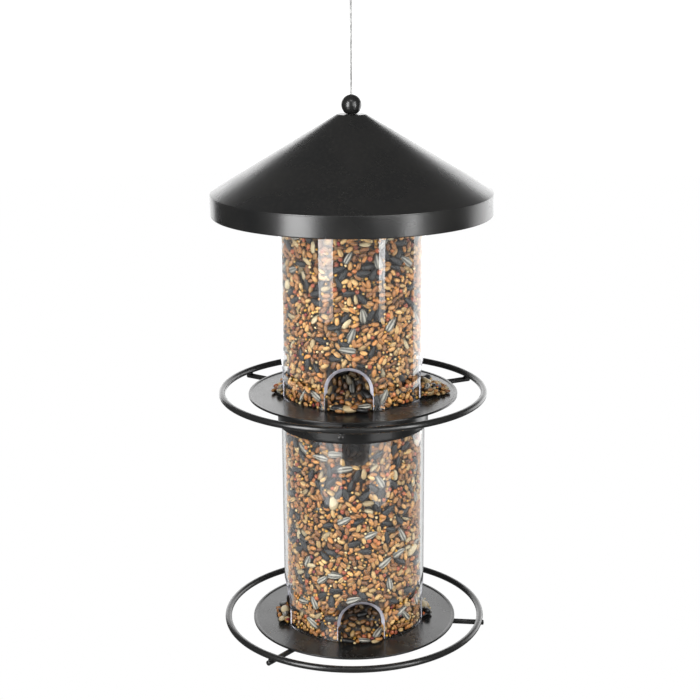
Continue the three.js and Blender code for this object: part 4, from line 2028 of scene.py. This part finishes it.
@dataclass
class SeedColumn:
    """The seed in one tube: grains against the wall, heaps in the arches and a core behind."""

    finishes: Finishes
    level: str
    node: str
    first_port: float
    spills: tuple[float, float, float, float]
    wall_top: float
    has_top: bool = False
    bore: float = 1 * MM
    ports: int = 4
    half_port: float = 17.75 * MM
    port_height: float = 33.5 * MM
    hollow: float = 16 * MM
    swell: float = 1.3 * MM
    core_depth: float = 6.5 * MM
    neck: float = 17.4 * MM
    dome_head: float = 9.4 * MM
    dome_foot: float = 32.4 * MM
    dome_rise: float = 12.2 * MM
    sag: Triple | None = None
    sag_half_width: float = 10.5 * MM
    sag_half_height: float = 15 * MM
    chance_start: int = 0

    def __post_init__(self) -> None:
        """Take the seed's place from the frame."""
        self.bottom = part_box(self.node)[0].z
        self.radius = Extent.of(self.node).radius
        self.chance = np.random.default_rng(SEED_OF_CHANCE + self.chance_start)
        self.heap = Heap(self.level, self.finishes, self.chance, self.bottom)

    def build(self) -> None:
        """Make every layer and the core."""
        self.wall_layer(0.0, 1.0, 0.13)
        self.wall_layer(3.8 * MM, 0.55, 0.3)
        for port, spill in enumerate(self.spills):
            self.spill_on_tray(port, spill)
        if self.has_top:
            self.top_layer()
        self.heap.build(self.node)
        self.core()

    def port_angle(self, port: float) -> float:
        """The angle of a port's middle about the cable."""
        return math.radians(self.first_port) + port * TURN / self.ports

    def aside(self, angle: Array) -> Array:
        """How far places lie from the middle of the nearest arch.

        Args:
            angle: Their angles about the cable.

        Returns:
            The sideways distances, 1 at the arch's leg.
        """
        step = TURN / self.ports
        off = (angle - self.port_angle(0) + step / 2) % step - step / 2
        return np.abs(self.radius * np.sin(off)) / self.half_port

    def depth(self, angle: Array, rise: Array) -> Array:
        """How far the seed's surface lies in from the wall.

        Within an arch the seed slopes back as smooth(z / 0.65) and comes forward again as
        smooth((1 - z) / 0.2), where z is the height's share. It does so less towards the arch's
        legs, and swells out a little at the bottom. Where the seed has sagged, a squarish dent
        (1 - a^4 - b^4)^0.5 comes on top of that.

        Args:
            angle: The angle about the cable.
            rise: The height over the seed's bottom.

        Returns:
            The depth.
        """
        x, z = self.aside(angle).clip(0, 1), np.clip(rise / self.port_height, 0, 1)
        share = smooth(np.clip(z / 0.65, 0, 1)) * smooth(np.clip((1 - z) / 0.2, 0, 1))
        deep = (1 - x**4) * (self.hollow * share - self.swell * np.exp(-rise / (3 * MM)))
        if self.sag is None:
            return deep
        turn, height, sink = self.sag
        off = angle - math.radians(turn)
        across, above = self.radius * np.sin(off) / self.sag_half_width, rise - height
        dent = 1 - across**4 - (above / self.sag_half_height) ** 4
        nearby = np.clip(dent, 0, 1) * (np.cos(off) > 0)
        return deep + sink * nearby**0.5

    def in_port(self, angle: Array, rise: Array) -> Array:
        """Whether a place lies well inside one of the arches."""
        return (self.aside(angle) < 0.75) & (rise / self.port_height < 0.75)

    def surface(self, angle: Array, rise: Array, sunk: float) -> Array:
        """Points of the seed's surface, or of a layer sunk below it."""
        r = self.radius - self.depth(angle, rise) - sunk
        return polar(r, angle, self.bottom + rise)

    def directions(self, angle: Array, rise: Array) -> tuple[Array, Array]:
        """Find the directions along the surface from small steps on it.

        Args:
            angle: Angles about the cable.
            rise: Heights over the seed's bottom.

        Returns:
            Unit directions sideways and upwards.
        """
        small = 0.4 * MM
        turn = small / self.radius
        across = self.surface(angle + turn, rise, 0) - self.surface(angle - turn, rise, 0)
        up = self.surface(angle, rise + small, 0) - self.surface(angle, rise - small, 0)
        across /= np.linalg.norm(across, axis=1, keepdims=True)
        up -= across * (across * up).sum(axis=1, keepdims=True)
        return across, up / np.linalg.norm(up, axis=1, keepdims=True)

    def wall_layer(self, sunk: float, share: float, overlap: float) -> None:
        """Drop a layer of grains on the unrolled wall and roll it up.

        Args:
            sunk: How far the layer lies below the surface.
            share: How full it is.
            overlap: The share of a grain that may lie on others.
        """
        bed = Bed(TURN * self.radius, self.wall_top - self.bottom, True, self.chance)
        for kind in KINDS:
            dropped = bed.drop(kind, kind.cover * share, int(kind.tries * share), overlap)
            if not len(dropped):
                continue
            angle, rise = dropped[:, 0] / self.radius, dropped[:, 1]
            across, up = self.directions(angle, rise)
            out = np.cross(across, up)
            jitter = self.chance.random(len(angle)) ** 2 * 1.5 * MM
            back = dropped[:, 3] * kind.thickness / 2 + 0.15 * MM + jitter + sunk
            centres = self.surface(angle, rise, 0) - out * back[:, None]
            within = np.where(self.in_port(angle, rise), self.radius + 3 * MM, self.radius + 0.15 * MM)
            # Painted shade: grains deep in the arches, in the sunk layer and pushed back from the wall
            # get a darker colour.
            tone_and_painted_shade = np.exp(-self.depth(angle, rise).clip(0) / (9 * MM) - sunk / (6 * MM))
            tone_and_painted_shade *= 1 - 0.35 * jitter / (1.5 * MM)
            turn_of, size_of = dropped[:, 2], dropped[:, 3]
            self.heap.add(kind, centres, across, up, turn_of, size_of, 0.18, within, tone_and_painted_shade)

    def spill_on_tray(self, port: int, spill: float) -> None:
        """Let seed lie on the tray in front of a port, in layers that each reach less far.

        Args:
            port: Which port.
            spill: How far out of the tube the seed reaches.
        """
        layers = 1 + round(spill / (6 * MM))
        for layer in range(layers):
            self.spill_layer(port, spill * (1 - layer / layers), layer * 1.9 * MM)

    def spill_layer(self, port: int, spill: float, lift: float) -> None:
        """Lay one layer of spilt seed.

        Args:
            port: Which port it comes from.
            spill: How far out of the tube it reaches.
            lift: How high it lies.
        """
        wide, deep = 2 * self.half_port - 2 * MM, spill + 4 * MM
        bed = Bed(wide, deep, False, self.chance)
        turn = self.port_angle(port)
        side = np.array([-math.sin(turn), math.cos(turn), 0.0])
        away = np.array([math.cos(turn), math.sin(turn), 0.0])
        for kind in KINDS:
            share = 0.3 if kind.length > 8 * MM else 1.2
            dropped = bed.drop(kind, kind.cover * share, 900, 0.3)
            x = dropped[:, 0] - wide / 2
            kept = dropped[:, 1] < deep * (1 - (x / wide * 2) ** 2 * 0.75)
            dropped, x = dropped[kept], x[kept]
            if not len(dropped):
                continue
            centres = side * x[:, None] + away * (self.radius - 1 * MM + dropped[:, 1:2])
            slope = (1 - dropped[:, 1] / deep).clip(0) * 1.2 * MM
            centres[:, 2] = self.bottom + lift + slope + dropped[:, 3] * kind.thickness / 2
            flat = np.ones((len(x), 1))
            turn_of, size_of = dropped[:, 2], dropped[:, 3]
            self.heap.add(kind, centres, flat * side, flat * -away, turn_of, size_of, 0.14)

    def top_layer(self) -> None:
        """Lay grains over the top of the seed, which is a little higher in the middle."""
        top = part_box(self.node)[1].z
        bed = Bed(2 * self.radius, 2 * self.radius, False, self.chance)
        for kind in KINDS:
            dropped = bed.drop(kind, kind.cover, kind.tries // 4, 0.25)
            x, y = dropped[:, 0] - self.radius, dropped[:, 1] - self.radius
            r = np.hypot(x, y)
            kept = (r < self.radius - kind.length / 2) & (r > self.bore + kind.length / 2)
            x, y, dropped = x[kept], y[kept], dropped[kept]
            if not len(dropped):
                continue
            height = top - dropped[:, 3] * kind.thickness / 2 - 0.8 * MM * (r[kept] / self.radius) ** 2
            centres = np.stack([x, y, height], axis=1)
            flat = np.ones((len(x), 1))
            east, north = flat * [1.0, 0, 0], flat * [0, 1.0, 0]
            self.heap.add(kind, centres, east, north, dropped[:, 2], dropped[:, 3], 0.08)

    def core(self) -> None:
        """Make the seed behind the grains as one lumpy body with the cable's bore through it,
        coloured dark brown as a painted shade for the seed seen in the gaps between grains.

        Its radius is the surface's less the core's depth, plus 0.8 mm times a product of waves.
        """
        low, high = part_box(self.node)
        columns, rows = 220, 90
        angle = np.arange(columns)[None, :] * TURN / columns
        rise = np.linspace(0.2 * MM, self.wall_top - self.bottom - 3 * MM, rows)[:, None]
        lumps = 0.8 * MM * np.sin(41 * angle + 300 * rise) * np.cos(1500 * rise + 9 * angle)
        r = self.radius - self.depth(angle + 0 * rise, rise + 0 * angle) - self.core_depth + lumps
        r = np.minimum(r, self.radius - 4 * MM)
        z = self.bottom + rise + 0 * angle
        shoulder = [(self.neck, high.z - 3.4 * MM), (self.neck, high.z - 0.2 * MM)]
        if self.has_top:
            shoulder = [(self.radius - 5 * MM, high.z - 3 * MM)]
        tips = [*shoulder, (self.bore, shoulder[-1][1]), (self.bore, low.z + self.foot_rise())]
        if not self.has_top:
            tips += [(self.dome_head, low.z + self.foot_rise()), (self.dome_foot, low.z + 0.2 * MM)]
        tip_r = np.array([t[0] for t in tips])[:, None] * np.ones_like(angle)
        tip_z = np.array([t[1] for t in tips])[:, None] * np.ones_like(angle)
        r, z = np.concatenate([r, tip_r]), np.concatenate([z, tip_z])
        points = polar(r, angle, z).reshape(-1, 3)
        shape = Shape(points, grid_faces(len(r), columns, True, True)).outward()
        # Painted shade: one dark brown stands for the shaded seed behind the grains.
        shape.colours = np.tile(np.array([shade(36, 26, 18)]), (len(points), 1))
        place_piece(self.level + "_seed_core", shape, self.finishes.grain, Slot.SEED)

    def foot_rise(self) -> float:
        """How far over the seed's lowest point the bore starts: over the dome in the lower tube."""
        return 0.2 * MM if self.has_top else self.dome_rise


# ---- studio


@dataclass
class Studio:
    """A pale floor, a pale surround and soft lights."""

    floor_drop: float = 0.35
    floor_reach: float = 5.0
    ambient: float = 0.15
    white: float = 1.15
    front: float = 12
    front_low: float = 3.6

    def build(self) -> None:
        """Make the floor, the surround and the lights."""
        self.floor()
        self.surround()
        self.lights()
        bpy.context.scene.view_settings.view_transform = "Standard"

    def floor(self) -> None:
        """Make a wide round floor well below the feeder."""
        height = cad_box[0].z - self.floor_drop
        rim = polar(self.floor_reach, np.arange(64) * TURN / 64, height)
        mesh = bpy.data.meshes.new("floor")
        mesh.from_pydata(rim.tolist(), [], [list(range(64))])
        mesh.materials.append(self.floor_paint())
        floor = bpy.data.objects.new("floor", mesh)
        bpy.context.scene.collection.objects.link(floor)

    def floor_paint(self) -> Material:
        """Make the floor's paint.

        Returns:
            Pale paint, bright to the eye and mild to the feeder.
        """
        material, nodes, shader = start_material("pale_floor")
        shader.inputs["Base Color"].default_value = (0.16, 0.16, 0.16, 1)
        shader.inputs["Roughness"].default_value = 0.9
        glow = nodes.add("ShaderNodeEmission")
        glow.inputs["Color"].default_value = (1, 1, 1, 1)
        nodes.either(nodes.in_sight(), shader.outputs["BSDF"], glow.outputs["Emission"])
        return material

    def surround(self) -> None:
        """Make the surround white where it is seen, and grey where it lights the feeder."""
        world = bpy.data.worlds.new("surround")
        world.use_nodes = True
        nodes = Nodes(world.node_tree)
        output = nodes.add("ShaderNodeOutputWorld")
        strength = nodes.ramp(nodes.in_sight(), 0.0, 1.0, self.ambient, self.white)
        sky = nodes.add("ShaderNodeBackground")
        sky.inputs["Color"].default_value = (1, 1, 1, 1)
        nodes.join(strength, sky.inputs["Strength"])
        nodes.join(sky.outputs["Background"], output.inputs["Surface"])
        bpy.context.scene.world = world

    def lights(self) -> None:
        """Place tall soft lights in front, a wide one behind and a mild one overhead."""
        strips = ((0.03, 0.03, 0.3), (0.06, 0.03, 0.6), (0.575, 1.0, 1.0))
        for step, (rise, tall, share) in enumerate(strips):
            glow = share * self.front
            self.soft_light(f"strip_left_{step}", -41, 1.02, rise, (0.43, tall), glow)
            self.soft_light(f"strip_right_{step}", 46, 1.02, rise, (0.18, tall), glow)
        self.soft_light("panel_right", 27, 1.3, 0.65, (0.5, 0.9), 4)
        self.soft_light("low_left", -36, 1.02, -0.2, (0.68, 0.12), self.front_low)
        self.soft_light("low_right", 43, 1.02, -0.2, (0.66, 0.12), self.front_low)
        self.soft_light("side_right", 126, 1.5, 0.05, (0.9, 1.1), 3)
        self.soft_light("wall_behind", 180, 1.7, 0.08, (2.6, 1.2), 2.1)
        self.soft_light("wall_above", 180, 1.7, 0.86, (2.6, 0.34), 2.2)
        self.soft_light("high_front", 0, 0.6, 1.15, (0.4, 0.3), 5)

    def soft_light(
        self, name: str, azimuth: float, away: float, rise: float, size: tuple[float, float],
        brightness: float,
    ) -> None:
        """Place one soft light that faces the feeder.

        Args:
            name: The light's name.
            azimuth: Its direction from the feeder, in degrees, 0 towards the camera.
            away: Its distance from the cable.
            rise: Its height over the feeder's foot.
            size: Its width and height.
            brightness: How bright its face is, 1 being white.
        """
        data = bpy.data.lights.new(name, "AREA")
        data.shape = "RECTANGLE"
        data.size, data.size_y = size
        data.energy = brightness * math.pi * size[0] * size[1]
        lamp = bpy.data.objects.new(name, data)
        turn, height = math.radians(azimuth), cad_box[0].z + rise
        lamp.location = (away * math.sin(turn), -away * math.cos(turn), height)
        aim = Vector((0, 0, height))
        lamp.rotation_euler = (aim - lamp.location).to_track_quat("-Z", "Y").to_euler()
        lamp.visible_camera = False
        lamp.visible_transmission = False
        bpy.context.scene.collection.objects.link(lamp)


LOWER_PORT = 275.7
UPPER_PORT = 266.5


def main() -> None:
    """Build the camera, the cable, every piece of the feeder, and the studio."""
    logging.basicConfig(level=logging.INFO, format="%(name)s: %(message)s")
    finishes = Finishes()
    Camera().build()
    Cable(finishes).build()
    BottomTray(finishes).build()
    MiddleTray(finishes).build()
    for level, first_port in (("bottom", LOWER_PORT), ("middle", UPPER_PORT)):
        Perch(finishes, level).build()
        Lugs(finishes, level, first_port).build()
    ClearTube(finishes, "lower_tube", LOWER_PORT).build()
    ClearTube(finishes, "upper_tube", UPPER_PORT).build()
    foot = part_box("bottom_spoke_1")[0].z
    SeedColumn(
        finishes, "lower", "lower_seed", LOWER_PORT,
        spills=(3 * MM, 6 * MM, 5 * MM, 6 * MM), wall_top=foot + 170 * MM,
        sag=(271.5, 157 * MM, 21 * MM),
    ).build()
    SeedColumn(
        finishes, "upper", "upper_seed", UPPER_PORT,
        spills=(4 * MM, 20 * MM, 8 * MM, 6 * MM), wall_top=foot + 364.6 * MM, has_top=True,
        chance_start=7,
    ).build()
    Roof(finishes).build()
    Finial(finishes).build()
    Anchor(finishes).build()
    Studio().build()


if __name__ == "__main__":
    main()
